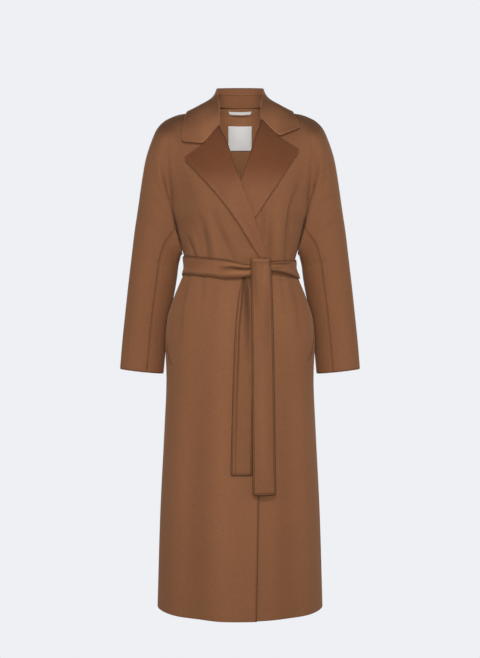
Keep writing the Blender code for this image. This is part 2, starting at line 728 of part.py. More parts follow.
def open_seams(bm, normals):
    """Draw every edge of a sheet back from its seam's mitre by half a seam."""
    moves = []
    for vert, normal in zip(bm.verts, normals):
        pulls = []
        for edge in (edge for edge in vert.link_edges if edge.is_boundary):
            mitre = (edge.verts[1].co - edge.verts[0].co).cross(normal).normalized()
            inside = edge.link_faces[0].calc_center_median() - vert.co
            pulls.append(mitre if mitre.dot(inside) > 0 else -mitre)
        if len(pulls) == 2:
            spread = max(0.5, 1 + pulls[0].dot(pulls[1]))
            moves.append((vert, (pulls[0] + pulls[1]) / spread * SEAM / 2))
    for vert, move in moves:
        vert.co += move


def split_edge_walls(bm, inner):
    """Split the wall's faces at the edges the same way on both sides of a seam."""
    for face in list(bm.faces):
        outer = [vert for vert in face.verts if vert not in inner]
        if len(outer) != 2:
            continue
        low = min(outer, key=lambda vert: tuple(round(value, 3) for value in vert.co.zyx))
        far = next(vert for vert in face.verts if vert in inner
                   and all(edge not in low.link_edges for edge in vert.link_edges))
        bmesh.utils.face_split(face, low, far)


def give_wall(bm, wall, shared):
    """Grow a sheet's wall inwards along the shared normals."""
    tree, normals = shared
    own_normals = [normals[tree.find(vert.co)[1]] for vert in bm.verts]
    open_seams(bm, own_normals)
    outer = KDTree(len(bm.verts))
    for number, vert in enumerate(bm.verts):
        outer.insert(vert.co, number)
    outer.balance()
    grown = bmesh.ops.extrude_face_region(bm, geom=bm.faces[:], use_keep_orig=True)["geom"]
    inner = {item for item in grown if isinstance(item, bmesh.types.BMVert)}
    split_edge_walls(bm, inner)
    for vert in inner:
        vert.co -= own_normals[outer.find(vert.co)[1]] * wall
    bmesh.ops.recalc_face_normals(bm, faces=bm.faces)


def finish_piece(name, bm, finish, collection):
    """Make the object of a piece."""
    mesh = bpy.data.meshes.new(name)
    bm.to_mesh(mesh)
    bm.free()
    mesh.materials.append(finish)
    mesh.shade_smooth()
    piece = bpy.data.objects.new(name, mesh)
    collection.objects.link(piece)
    return piece


def sew(sheets, wall, finish, collection):
    """Pieces that are sewn together, from their open sheets by name."""
    shared = shared_normals(sheets.values())
    for name, sheet in sheets.items():
        give_wall(sheet, wall, shared)
        finish_piece(name, sheet, finish, collection)


def front_sheet(side):
    """The open sheet of a front, with its lapel and its half of the sleeve."""
    bm = bmesh.new()
    lapel_rows = len(LEVELS) - 1 - LEVELS.index(KNOT) + GORGE_ROW
    laid_grid(bm, FRONT_COLUMNS, len(LEVELS) - 1 + ARM_ROWS, front_panel(side))
    laid_grid(bm, LAPEL_COLUMNS, lapel_rows, lapel(side))
    sleeve = front_sleeve(side)
    laid_grid(bm, ARM_ROWS - UNDER_ROWS, SLEEVE_ROWS, lambda u, v: sleeve(1 - u, v))
    bmesh.ops.remove_doubles(bm, verts=bm.verts, dist=WELD)
    if side == LEFT:
        bmesh.ops.reverse_faces(bm, faces=bm.faces)
    return bm


def back_sheet(side):
    """The open sheet of one half of the back, with its half of the sleeve."""
    bm = bmesh.new()
    laid_grid(bm, NECK_COLUMNS + FRONT_COLUMNS, len(LEVELS) - 1 + ARM_ROWS, back_half())
    laid_grid(bm, ARM_ROWS - UNDER_ROWS, SLEEVE_ROWS, back_sleeve())
    for vert in bm.verts:
        vert.co.x *= side
    bmesh.ops.remove_doubles(bm, verts=bm.verts, dist=WELD)
    if side == LEFT:
        bmesh.ops.reverse_faces(bm, faces=bm.faces)
    return bm


def grid_sheet(columns, rows, lay, turned=False):
    """An open sheet that is one grid."""
    bm = bmesh.new()
    laid_grid(bm, columns, rows, lay)
    bmesh.ops.remove_doubles(bm, verts=bm.verts, dist=WELD)
    if turned:
        bmesh.ops.reverse_faces(bm, faces=bm.faces)
    return bm


def loose_piece(name, sheet, wall, finish, collection):
    """A piece that is sewn to nothing beside it: Solidify grows its wall."""
    piece = finish_piece(name, sheet, finish, collection)
    solidify = piece.modifiers.new("wall", "SOLIDIFY")
    solidify.thickness = wall
    solidify.offset = -1


def main():
    """Build every piece."""
    for old in list(bpy.data.objects):
        bpy.data.objects.remove(old)
    coat = bpy.data.collections.new("wrap_coat")
    bpy.context.scene.collection.children.link(coat)
    wool = material("wool", WOOL, 0.9)
    satin = material("satin", SATIN, 0.4)
    woven = material("label_weave", LABEL_WHITE, 0.7)

    body = {"front_right": front_sheet(RIGHT), "front_left": front_sheet(LEFT),
            "back_right": back_sheet(RIGHT), "back_left": back_sheet(LEFT)}
    for side, name in ((RIGHT, "under_sleeve_right"), (LEFT, "under_sleeve_left")):
        body[name] = grid_sheet(2 * UNDER_ROWS, SLEEVE_ROWS, under_sleeve(side), side == RIGHT)
    sew(body, CLOTH, wool, coat)
    stand_columns = COLLAR_COLUMNS * (len(COLLAR) - 1) // (len(COLLAR) + 1)
    sew({"collar_fall": grid_sheet(COLLAR_COLUMNS, INNER_ROWS + FALL_ROWS, fall_point),
         "collar_stand": grid_sheet(stand_columns, STAND_ROWS, stand_point)},
        CLOTH, wool, coat)
    for name, columns, rows, lay in (
            ("belt_band", 44, 3, belt_band()),
            ("belt_tail_front", 3, 22, tail_over_band()),
            ("belt_tail_rear", 4, 12, hanging_tail(TAIL_REAR))):
        loose_piece(name, grid_sheet(columns, rows, lay), BELT_CLOTH, wool, coat)
    loose_piece("label", grid_sheet(4, 3, label()), TRIM_CLOTH, woven, coat)
    loose_piece("hanger_loop", grid_sheet(6, 1, hanger_loop()), TRIM_CLOTH, satin, coat)


main()
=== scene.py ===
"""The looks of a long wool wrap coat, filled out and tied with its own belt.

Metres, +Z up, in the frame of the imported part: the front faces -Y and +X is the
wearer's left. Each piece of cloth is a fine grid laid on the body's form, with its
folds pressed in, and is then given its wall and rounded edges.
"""
from collections import namedtuple
from functools import cache, partial
from math import asin, copysign, cos, exp, hypot, pi, radians, sin, sqrt

import bpy
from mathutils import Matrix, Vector


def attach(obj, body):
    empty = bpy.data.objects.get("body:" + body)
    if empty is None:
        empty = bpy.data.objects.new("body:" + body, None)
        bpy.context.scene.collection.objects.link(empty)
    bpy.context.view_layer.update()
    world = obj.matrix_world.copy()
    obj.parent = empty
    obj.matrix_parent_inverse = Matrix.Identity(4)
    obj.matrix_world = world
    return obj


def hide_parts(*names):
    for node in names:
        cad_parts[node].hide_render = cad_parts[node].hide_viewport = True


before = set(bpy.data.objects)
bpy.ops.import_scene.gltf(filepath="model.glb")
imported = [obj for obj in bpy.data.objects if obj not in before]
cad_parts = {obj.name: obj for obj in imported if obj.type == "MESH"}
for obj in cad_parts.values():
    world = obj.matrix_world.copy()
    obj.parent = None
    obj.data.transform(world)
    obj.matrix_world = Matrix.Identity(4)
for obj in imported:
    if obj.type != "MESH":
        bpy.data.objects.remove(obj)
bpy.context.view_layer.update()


def table(columns, rows):
    """Rows whose columns have names. A row that leaves out its last column has 0 there."""
    row = namedtuple("Row", columns, defaults=[0.0])
    return [row(*values) for values in rows]


# ---------------------------------------------------------------- driving sizes
CLOTH = 0.0024        # wall of the double-faced wool
BELT_CLOTH = 0.0034   # the belt is two layers, pressed flat
TRIM_CLOTH = 0.0008   # wall of the label and of the loop's ribbon
SEAM = 0.00006        # left open between pieces that are sewn together
CLEAR = 0.0008        # left open between layers that lie on each other
WELD = 0.00005        # points of one cloth this close are one point
RIGHT, LEFT = -1, 1   # the wearer's sides, as the sign of x

# The body by level: half-width, depth in front of and behind the side seam, and
# how far back the side seam lies.
BODY = table("level side front back mid", [
    (-1.1795, 0.196, 0.167, 0.163), (-0.96, 0.1895, 0.16, 0.157),
    (-0.75, 0.179, 0.151, 0.15, -0.002), (-0.64, 0.1745, 0.144, 0.144, -0.006),
    (-0.55, 0.177, 0.136, 0.14, -0.01), (-0.5, 0.172, 0.13, 0.135, -0.01),
    (-0.45, 0.157, 0.12, 0.124, -0.008), (-0.41, 0.141, 0.11, 0.11, -0.004),
    (-0.376, 0.129, 0.104, 0.098), (-0.345, 0.134, 0.11, 0.101), (-0.29, 0.151, 0.123, 0.108),
    (-0.24, 0.165, 0.129, 0.112),
])
HEM, BUST = BODY[0].level, BODY[-1].level
RISE = 0.25           # length of cloth from the bust up to the shoulder line
TOP = BUST + RISE     # level of the shoulder line
TOP_SIDE = 0.186      # half-width that the form reaches at the shoulder line
FRONT_ROUND, BACK_ROUND = 0.85, 0.55   # how squarely chest and back turn into the shoulder

# The line where front and back meet on the shoulder, from the neck outwards.
SHOULDER = table("x z y", [
    (0.0, 0.04, 0.012), (0.05, 0.024, 0.008), (0.07, 0.0095, 0.006), (0.1, -0.0025, 0.004),
    (0.122, -0.0098, 0.003), (0.143, -0.0132, 0.002), (0.169, -0.023), (0.186, -0.032),
])
NECK_POINT, SHOULDER_POINT = 0.07, 0.16   # x of the shoulder seam's ends
BACK_NECK = 0.0135    # height of the neck seam at centre back
ARMPIT = -0.29
HALVINGS = 32         # how often the search for a point on the form halves its range
PROBE_TURN, PROBE_LEVEL = 0.01, 0.002     # the form's slope is taken over these steps
TOP_MARGIN = 0.004    # and this far under the shoulder line at most

# Where the sleeve leaves the body, from the armpit up, on front and back.
ARMHOLE = table("z x", [
    (-0.29, 0.151), (-0.221, 0.159), (-0.1215, 0.1695), (-0.06, 0.169), (-0.0195, 0.16),
])
# The rings of the sleeve: over-arm and under-arm points, middle and half-depths.
SLEEVE = table("along over_x over_z under_x under_z mid front back", [
    (0.0, 0.16, -0.0195, 0.1512, -0.2895, 0.0, 0.046, 0.052),
    (0.05, 0.178, -0.028, 0.155, -0.287, 0.002, 0.05, 0.056),
    (0.12, 0.197, -0.046, 0.151, -0.296, 0.005, 0.055, 0.06),
    (0.2, 0.211, -0.075, 0.1456, -0.312, 0.008, 0.059, 0.062),
    (0.3, 0.225, -0.118, 0.1402, -0.33, 0.012, 0.061, 0.063),
    (0.4, 0.2355, -0.175, 0.143, -0.35, 0.017, 0.061, 0.062),
    (0.5, 0.244, -0.232, 0.1475, -0.372, 0.022, 0.06, 0.06),
    (0.58, 0.2535, -0.293, 0.1505, -0.396, 0.026, 0.058, 0.058),
    (0.66, 0.26, -0.345, 0.154, -0.418, 0.029, 0.057, 0.056),
    (0.74, 0.2675, -0.407, 0.16, -0.45, 0.031, 0.055, 0.055),
    (0.84, 0.2765, -0.49, 0.171, -0.512, 0.031, 0.053, 0.053),
    (0.92, 0.283, -0.555, 0.178, -0.57, 0.029, 0.051, 0.051),
    (1.0, 0.288, -0.619, 0.1835, -0.6305, 0.026, 0.05, 0.05),
])
# How far round the sleeve, from the over-arm seam, the under-sleeve seam runs.
SLEEVE_SEAM = table("along degrees", [
    (0.0, 144.0), (0.1, 141.0), (0.2, 136.0), (0.3, 129.5), (0.4, 120.5), (0.5, 110.0),
    (0.62, 103.0), (1.0, 107.0),
])
# Along the sleeve, where the armhole's shape has faded, and where its depth has.
FREE_OF_ARMHOLE, DEEP_OF_ARMHOLE = 0.34, 0.19
# The under-arm's corner, and where along the sleeve it is rounded off.
SQUARE_UNDER, SQUARE_FROM, SQUARE_TO = 0.62, 0.3, 0.52
# The under-arm leans to the body about this place along and round the sleeve.
ARM_LEAN, LEAN_ALONG, LEAN_ROUND, LEAN_SOFT = 0.0065, (0.17, 0.1), (0.68, 0.16), 0.05
# High on the armhole the cloth bridges the hollow between body and sleeve.
ARMHOLE_FILL, FILL_REACH, FILL_SHIFT = 0.0155, 0.017, 0.003
FILL_TOP, FILL_SOFT, FILL_FOOT, FILL_FADE = -0.035, 0.035, -0.225, 0.08
# Below the armpit the body stands out against the sleeve.
SIDE_BULGE, BULGE_HEIGHT, BULGE_REACH, BULGE_TURN = 0.0022, -0.318, 0.026, 0.25

# The front edge of each front, from the hem up: x counts outwards from the
# centre on its own side, so it is negative where the front has crossed over.
FRONT_EDGE = {
    RIGHT: table("z x", [
        (-1.178, -0.04), (-0.9, -0.0445), (-0.42, -0.046), (-0.3585, -0.057), (-0.3315, -0.0527),
        (-0.269, -0.032), (-0.185, -0.001), (-0.139, 0.016), (-0.0915, 0.032), (-0.0594, 0.046),
    ]),
    LEFT: table("z x", [
        (-1.178, -0.04), (-0.9, -0.044), (-0.42, -0.045), (-0.3585, -0.054), (-0.325, -0.048),
        (-0.262, -0.029), (-0.185, 0.001), (-0.132, 0.0205), (-0.0866, 0.0344), (-0.0436, 0.0468),
    ]),
}
# The outer edge of each lapel, from the knot up to its tip, and the corner
# where the collar meets it.
LAPEL_EDGE = {
    RIGHT: table("up x z", [
        (0.0, -0.0436, -0.3588), (0.42, 0.0182, -0.2582), (1.0, 0.1255, -0.1299),
    ]),
    LEFT: table("up x z", [
        (0.0, -0.042, -0.3588), (0.38, 0.0318, -0.2692), (1.0, 0.1329, -0.11),
    ]),
}
NOTCH = {RIGHT: (0.0828, -0.0987), LEFT: (0.0876, -0.0807)}
KNOT = -0.3585        # height where the lapels end in the belt
ROLL_SET = 0.003      # the panel stops this far short of the folded edge
ROLL_LIFT, ROLL_FROM, ROLL_FULL = 0.003, -0.175, -0.115   # a lapel stands off its fold
EDGE_SPRING, SPRING_FROM, SPRING_UP = 0.004, 0.6, 0.2     # and its edge springs off the chest
GORGE_BEND = 8        # the higher, the nearer to the gorge a lapel's rows start to bend
OVERLAP_EASE = 0.05   # the top front climbs over the lower one in this width
LIFT_SKIRT, LIFT_CHEST = 0.0052, 0.0072   # how far out it lies over one layer, and over
LIFT_FROM, LIFT_TO = -0.4, -0.365         # the lower lapel, and where that changes

# Rows of the body's panels below the armpit: a level, and the rows up to it.
STOPS = table("level rows", [
    (HEM, 0), (HEM + 0.012, 3), (-0.625, 50), (-0.56, 18), (-0.44, 26), (KNOT, 20), (ARMPIT, 18),
])
ARM_ROWS = 56         # rows from the armpit to the shoulder point
UNDER_ROWS = 12       # of these, the rows that the under-sleeve panel meets
UPPER_ROWS = ARM_ROWS - UNDER_ROWS
GORGE_ROW = 40        # row where the roll line ends at the gorge seam
KNOT_ROWS = STOPS[-1].rows
FRONT_COLUMNS = 100
NECK_COLUMNS = 30     # columns of the back between centre back and the neck point
LAPEL_COLUMNS, FOLD_COLUMNS = 44, 8   # and of these, the columns that turn round the fold
# Rows of a sleeve, as shares along it: they crowd at the cuff's stitching.
SLEEVE_STOPS = table("level rows", [
    (0.0, 0), (0.984, 92), (0.99, 3), (1.0, 3),
])
CUFF_LINE, CUFF_WIDTH, CUFF_DEPTH = 0.9915, 0.0024, 0.0011
SEAM_DARK, SEAM_WIDTH, SEAM_DEPTH = 0.0015, 0.008, 0.0006   # the under-sleeve seam's line: its painted shade, width and groove depth
SLEEVE_FADE, SEAM_FADE = (0.02, 0.08), (0.03, 0.1)   # where folds and line come in
# Painted shade in troughs, grooves and creases, and painted light on ridges: how much more than
# their depth.
FOLD_SHADE, GROOVE_SHADE, POCKET_SHADE, CREASE_SHADE = 0.18, 2.8, 1.8, 0.62
EDGE_SHADE, EDGE_SHARE = -0.0005, 0.03   # painted highlight on a turned edge, in this share
# painted shadow along a front's edge below the armpit, in this share
FRONT_EDGE_SHADE, FRONT_EDGE_SHARE = 0.0036, 0.016
NECK_LIGHT = -0.0016  # painted light over the collar's roll
TAIL_FREE = -0.43     # below this height the tails follow the skirt's folds

# Folds of the cloth, on the front as x and z and on the back as x and z. Each
# runs along its path and dies out at both ends. A negative depth is a trough,
# a positive one a ridge, and lean above 0 makes its right flank the softer one.
# It starts softly at the path's first point and is held tighter at its last.
FOLD = "path width depth lean"
FOLD_REACH = 3        # a fold is felt within this many of its widths
FOLD_START, FOLD_END = 0.03, 0.8   # the part of a half wave that it rises and falls by
FRONT_FOLDS = table(FOLD, [
    # gathered above the belt, the wearer's right
    ([(-0.123, -0.312), (-0.105, -0.356)], 0.0046, -0.0046, 0.3),
    ([(-0.112, -0.29), (-0.093, -0.36)], 0.009, 0.0034),
    ([(-0.099, -0.255), (-0.08, -0.315), (-0.072, -0.364)], 0.0068, -0.0046, 0.4),
    ([(-0.076, -0.262), (-0.049, -0.364)], 0.01, 0.0028),
    ([(-0.07, -0.245), (-0.042, -0.305), (-0.015, -0.364)], 0.0066, -0.0036, 0.4),
    # gathered above the belt, the wearer's left
    ([(0.052, -0.24), (0.056, -0.32)], 0.006, -0.0038),
    ([(0.09, -0.235), (0.088, -0.364)], 0.0105, 0.0034),
    ([(0.136, -0.19), (0.115, -0.245), (0.109, -0.3), (0.106, -0.364)], 0.0052, -0.0066, 0.5),
    ([(0.069, -0.275), (0.0705, -0.364)], 0.005, -0.0042),
    # hanging from the bust and the armhole
    ([(-0.14, -0.15), (-0.118, -0.215), (-0.118, -0.29)], 0.022, -0.003),
    ([(0.145, -0.15), (0.132, -0.2), (0.13, -0.27)], 0.017, -0.0026),
    # gathered below the belt
    ([(-0.14, -0.575), (-0.133, -0.47), (-0.117, -0.395)], 0.0085, -0.0036, 0.6),
    ([(-0.09, -0.47), (-0.084, -0.39)], 0.0052, -0.0022),
    ([(-0.064, -0.52), (-0.056, -0.405)], 0.01, -0.0014),
    ([(0.106, -0.5), (0.096, -0.39)], 0.007, -0.0018),
    ([(0.143, -0.565), (0.135, -0.47), (0.117, -0.4)], 0.009, -0.003),
    # long soft waves of the skirt
    ([(-0.125, -0.56), (-0.138, -0.85), (-0.148, -1.32)], 0.03, 0.003),
    ([(-0.09, -0.5), (-0.098, -0.8), (-0.106, -1.3)], 0.026, -0.003),
    ([(-0.04, -0.64), (-0.042, -0.9), (-0.046, -1.3)], 0.03, 0.0018),
    ([(0.095, -0.52), (0.104, -0.8), (0.112, -1.32)], 0.026, -0.0028),
    ([(0.135, -0.6), (0.148, -0.9), (0.156, -1.32)], 0.024, 0.0026),
])
BACK_FOLDS = table(FOLD, [
    ([(-0.09, -0.27), (-0.086, -0.356)], 0.0065, -0.004, 0.3),
    ([(-0.048, -0.29), (-0.05, -0.356)], 0.008, -0.003),
    ([(-0.012, -0.3), (-0.014, -0.356)], 0.006, -0.0024, 0.3),
    ([(0.034, -0.28), (0.032, -0.356)], 0.0075, -0.0034),
    ([(0.072, -0.262), (0.069, -0.356)], 0.006, -0.004, 0.4),
    ([(0.106, -0.3), (0.1, -0.356)], 0.008, -0.0028),
    ([(0.052, -0.29), (0.051, -0.356)], 0.009, 0.0024),
    ([(-0.069, -0.28), (-0.068, -0.356)], 0.009, 0.0024),
    ([(-0.116, -0.49), (-0.102, -0.4)], 0.008, -0.0036, 0.3),
    ([(-0.066, -0.47), (-0.062, -0.4)], 0.006, -0.003),
    ([(0.019, -0.48), (0.018, -0.4)], 0.008, -0.0024),
    ([(0.09, -0.495), (0.08, -0.4)], 0.0075, -0.0036, 0.3),
    ([(0.136, -0.48), (0.12, -0.405)], 0.008, -0.0026),
    ([(-0.118, -0.52), (-0.13, -0.85), (-0.14, -1.26)], 0.03, -0.0036),
    ([(-0.06, -0.56), (-0.064, -0.9), (-0.07, -1.26)], 0.034, 0.0034),
    ([(0.01, -0.52), (0.008, -0.85), (0.01, -1.26)], 0.032, -0.003),
    ([(0.072, -0.56), (0.082, -0.9), (0.088, -1.26)], 0.034, 0.0032),
    ([(0.128, -0.54), (0.14, -0.85), (0.15, -1.26)], 0.028, -0.0034),
    ([(-0.135, -0.13), (-0.11, -0.23)], 0.018, -0.0026),
    ([(0.135, -0.13), (0.112, -0.235)], 0.018, -0.0026),
    ([(-0.05, -0.06), (0.05, -0.06)], 0.02, -0.0012),
])
# On a sleeve the path is given as the share along it and degrees from the
# over-arm seam, counted to the front. A width is in shares of the length.
DEGREES_PER_SHARE = 210.0   # so that a sleeve fold is as wide across as along
SLEEVE_FOLDS = [fold._replace(path=[(at, turned / DEGREES_PER_SHARE) for at, turned in fold.path])
                for fold in table(FOLD, [
    # the under-arm leans on the body
    ([(0.11, 120.0), (0.11, 240.0)], 0.05, 0.0028),
    ([(0.19, 120.0), (0.19, 240.0)], 0.05, 0.0016),
    ([(0.27, 120.0), (0.27, 240.0)], 0.04, 0.0016),
    ([(0.345, 130.0), (0.345, 230.0)], 0.026, 0.0056),
    ([(0.11, -120.0), (0.11, -240.0)], 0.05, 0.0028),
    ([(0.19, -120.0), (0.19, -240.0)], 0.05, 0.0016),
    ([(0.27, -120.0), (0.27, -240.0)], 0.04, 0.0016),
    ([(0.345, -130.0), (0.345, -230.0)], 0.026, 0.0056),
    ([(0.05, 158.0), (0.4, 158.0)], 0.075, 0.0068),
    ([(0.05, -158.0), (0.4, -158.0)], 0.075, 0.005),
    ([(0.3, 118.0), (0.4, 60.0), (0.47, 20.0)], 0.018, -0.0013, 0.4),
    ([(0.4, 130.0), (0.5, 80.0), (0.53, 50.0)], 0.02, -0.0013, 0.3),
    ([(0.22, 110.0), (0.3, 66.0)], 0.022, -0.0009),
    ([(0.56, 140.0), (0.62, 96.0)], 0.018, -0.0018),
    ([(0.44, -30.0), (0.5, -80.0), (0.48, -130.0)], 0.018, -0.0022, 0.3),
    ([(0.6, -60.0), (0.58, -120.0)], 0.02, -0.0018),
    ([(0.7, 30.0), (0.95, 46.0)], 0.024, -0.0012),
])]
SIDE_FADE = 0.026     # folds die out this far from the side and the armhole
# The lower ends of the openings in the hip seams, pressed in and darkened with painted shade:
# length from centre front round the body, and z.
POCKETS = {
    RIGHT: table(FOLD, [([(0.17, -0.609), (0.186, -0.602), (0.199, -0.584), (0.224, -0.525)],
                         0.003, -0.0022)]),
    LEFT: table(FOLD, [([(0.169, -0.599), (0.185, -0.593), (0.198, -0.577), (0.224, -0.525)],
                        0.003, -0.0022)]),
}
QUARTER = 0.245       # the cloth's length round a quarter of the hips


# ---------------------------------------------------------------- small helpers
def mix(a, b, part):
    """From a to b, by part."""
    return a + (b - a) * part


def ease(part):
    """0 up to 1 without a corner at either end."""
    part = min(1.0, max(0.0, part))
    return part * part * (3 - 2 * part)


def bell(distance, width):
    """1 on a line, 0 well away from it."""
    return exp(-(distance / width) ** 2)


def at_end(part, share):
    """0 up to 1 over the last share before part reaches 1."""
    return ease((part - 1) / share + 1)


def outward(side, point):
    """A point with its x counted outwards on its side, or back again."""
    return Vector((point[0] * side, point[1], point[2]))


def read(rows, value):
    """The columns of a table between two of its rows, on a smooth curve."""
    if value <= rows[0][0]:
        return rows[0][1:]
    if value >= rows[-1][0]:
        return rows[-1][1:]
    row = max(i for i in range(len(rows) - 1) if rows[i][0] <= value)
    step = rows[row + 1][0] - rows[row][0]
    part = (value - rows[row][0]) / step
    return [hermite(rows, column, row, step, part) for column in range(1, len(rows[0]))]


def slope(rows, column, row):
    """Slope of a column at a row: flat at the last row and at turning points."""
    def rise(i):
        return (rows[i + 1][column] - rows[i][column]) / (rows[i + 1][0] - rows[i][0])
    if row == 0:
        return rise(0)
    if row == len(rows) - 1:
        return 0.0
    before, after = rise(row - 1), rise(row)
    return 0.0 if before * after <= 0 else 2 * before * after / (before + after)


def hermite(rows, column, row, step, part):
    """Cubic between two rows of one column."""
    start, end = rows[row][column], rows[row + 1][column]
    leave, arrive = slope(rows, column, row) * step, slope(rows, column, row + 1) * step
    square, cube = part * part, part ** 3
    return ((2 * cube - 3 * square + 1) * start + (cube - 2 * square + part) * leave
            + (3 * square - 2 * cube) * end + (cube - square) * arrive)


def count(stops):
    """All the rows of a table of stops."""
    return sum(stop.rows for stop in stops)


def spread(stops, share, column=0):
    """A column's value at a share of a table's rows, so that rows can crowd together."""
    row = round(share * count(stops), 4)
    for before, after in zip(stops, stops[1:]):
        if row <= after.rows:
            return mix(before[column], after[column], row / after.rows)
        row -= after.rows
    return stops[-1][column]


# ---------------------------------------------------------------- the body's form
@cache
def ring_at(level):
    """Half-width, depth in front, depth behind and middle of the body at a level."""
    side, front, back, mid = read(BODY, min(level, BUST))
    up = max(0.0, level - BUST) / RISE
    return mix(side, TOP_SIDE, sin(up * pi / 2)), front, back, mid


def form(turn, level):
    """A point of the coat's outer face on one layer of cloth.

    turn is 0 at centre front, 1 or -1 at the side seams and 2 or -2 at centre
    back. level is the height up to the bust, and runs on over the chest to TOP
    on the shoulder line.
    """
    width, front, back, mid = ring_at(level)
    angle = turn * pi / 2
    forward = cos(angle)
    x = width * sin(angle)
    y = mid - (front if forward >= 0 else back) * forward
    if level <= BUST:
        return Vector((x, y, level))
    up = (level - BUST) / RISE * pi / 2
    ridge_z, ridge_y = read(SHOULDER, abs(x))
    roundness = FRONT_ROUND if forward >= 0 else BACK_ROUND
    reach = max(0.0, cos(up)) ** roundness
    return Vector((x, mix(ridge_y, y, reach), mix(BUST, ridge_z, sin(up))))


def outwards(turn, level):
    """Unit normal of the form, pointing out of the coat."""
    level = min(level, TOP - TOP_MARGIN)
    across = form(turn + PROBE_TURN, level) - form(turn - PROBE_TURN, level)
    upwards = form(turn, level + PROBE_LEVEL) - form(turn, level - PROBE_LEVEL)
    return across.cross(upwards).normalized()


def off_form(turn, level, out):
    """A point that lies out from the form."""
    return form(turn, level) + outwards(turn, level) * out


def turn_at(x, width):
    """turn of the form at x, where its half-width is known."""
    return asin(max(-1.0, min(1.0, x / width))) / (pi / 2)


@cache
def place(x, z, behind=False):
    """turn and level of the form's point at x and z, in front or behind."""
    low, high = HEM, TOP
    for _ in range(HALVINGS):
        level = (low + high) / 2
        turn = turn_at(x, ring_at(level)[0])
        if form(turn, level).z < z:
            low = level
        else:
            high = level
    return (copysign(2.0, x) - turn if behind else turn), level


@cache
def front_edge(side, z):
    """x of a front's edge or roll line, counted outwards on its own side."""
    return read(FRONT_EDGE[side], z)[0]


def top_front_lift(x, z):
    """How far the top front is moved out where it lies over the lower one."""
    under_edge = front_edge(LEFT, z) * LEFT
    full = mix(LIFT_SKIRT, LIFT_CHEST, ease((z - LIFT_FROM) / (LIFT_TO - LIFT_FROM)))
    return full * ease((x - under_edge) / OVERLAP_EASE + 1)


def lift_on(side, x, z):
    """How far a front's outer face lies out from the form."""
    return top_front_lift(x, z) if side == RIGHT else 0.0


def on_front(side, x, z, out):
    """A point that lies out from a front's face, x counted outwards."""
    lift = lift_on(side, x * side, z) + folds_on_front(x * side, z) + out
    return off_form(*place(x * side, z), lift)


# ---------------------------------------------------------------- folds
def one_fold(fold, across, along):
    """How far one fold moves the cloth at a point of its own chart."""
    near, share = None, 0.0
    steps = len(fold.path) - 1
    for number in range(steps):
        (x0, y0), (x1, y1) = fold.path[number], fold.path[number + 1]
        run_x, run_y = x1 - x0, y1 - y0
        part = ((across - x0) * run_x + (along - y0) * run_y) / hypot(run_x, run_y) ** 2
        part = min(1.0, max(0.0, part))
        off_x, off_y = across - x0 - run_x * part, along - y0 - run_y * part
        distance = hypot(off_x, off_y)
        if near is None or distance < abs(near):
            side = run_y * off_x - run_x * off_y
            near, share = copysign(distance, side), (number + part) / steps
    if abs(near) > fold.width * FOLD_REACH:
        return 0.0
    width = fold.width * (1 + fold.lean * (-1 if near > 0 else 1))
    return fold.depth * bell(near, width) * sin(pi * mix(FOLD_START, FOLD_END, share))


def folds_in(folds, across, along):
    """How far all the folds of one table move the cloth at a point of their chart."""
    total = 0.0
    for fold in folds:
        low, high = sorted((fold.path[0][1], fold.path[-1][1]))
        reach = fold.width * FOLD_REACH
        if low - reach < along < high + reach:
            total += one_fold(fold, across, along)
    return total


def fade_at_side(x, z):
    """0 at the side seam and the armhole, 1 away from them."""
    limit = read(ARMHOLE, z)[0] if z > ARMPIT else ring_at(z)[0]
    return ease((limit - abs(x)) / SIDE_FADE)


@cache
def folds_on_front(x, z):
    """How far the folds move the front's cloth out."""
    return folds_in(FRONT_FOLDS, x, z) * fade_at_side(x, z)


def armhole_fill(x, z):
    """How far the cloth bridges the hollow between chest or back and sleeve."""
    high = ease((FILL_TOP - z) / FILL_SOFT) * ease((z - FILL_FOOT) / FILL_FADE)
    return ARMHOLE_FILL * high * bell(abs(x) - read(ARMHOLE, z)[0] - FILL_SHIFT, FILL_REACH)


def bulge_at_side(turn, level):
    """How far the body stands out at its side, just below the armpit."""
    return (SIDE_BULGE * bell(level - BULGE_HEIGHT, BULGE_REACH)
            * bell(abs(turn) - 1, BULGE_TURN))


def sleeve_seam(along):
    """How far round the sleeve the under-sleeve seam runs, 1 being the under-arm."""
    return read(SLEEVE_SEAM, along)[0] / 180


def folds_on_sleeve(along, round_part, behind):
    """How far the folds move a sleeve's cloth out."""
    degrees = round_part * 180 * (-1 if behind else 1)
    total = folds_in(SLEEVE_FOLDS, along, degrees / DEGREES_PER_SHARE)
    total -= SEAM_DEPTH * bell(round_part - sleeve_seam(along), SEAM_WIDTH)
    fade = ease((along - SLEEVE_FADE[0]) / SLEEVE_FADE[1])
    return total * fade - at_cuff(along) / GROOVE_SHADE


def at_cuff(along):
    """How strongly the cuff's stitching presses the cloth in, counted as the painted shade in its
    groove.
    """
    return CUFF_DEPTH * GROOVE_SHADE * bell(along - CUFF_LINE, CUFF_WIDTH)


def painted_shade_on_sleeve(along, round_part):
    """Painted shade in the cuff's stitching and along the under-sleeve seam."""
    line = SEAM_DARK * bell(round_part - sleeve_seam(along), SEAM_WIDTH)
    return max(at_cuff(along), line * ease((along - SEAM_FADE[0]) / SEAM_FADE[1]))


# ---------------------------------------------------------------- sheets of cloth
@cache
def armhole(part, behind):
    """turn and level on the armhole: part 0 at the shoulder, 1 at the armpit."""
    if part == 0:
        turn = turn_at(SHOULDER_POINT, TOP_SIDE)
        return (2 - turn if behind else turn), TOP
    down = 0.5 * part + 0.5 * (1 - cos(part * pi / 2))
    z = mix(ARMHOLE[-1].z, ARMHOLE[0].z, down)
    return place(read(ARMHOLE, z)[0], z, behind)


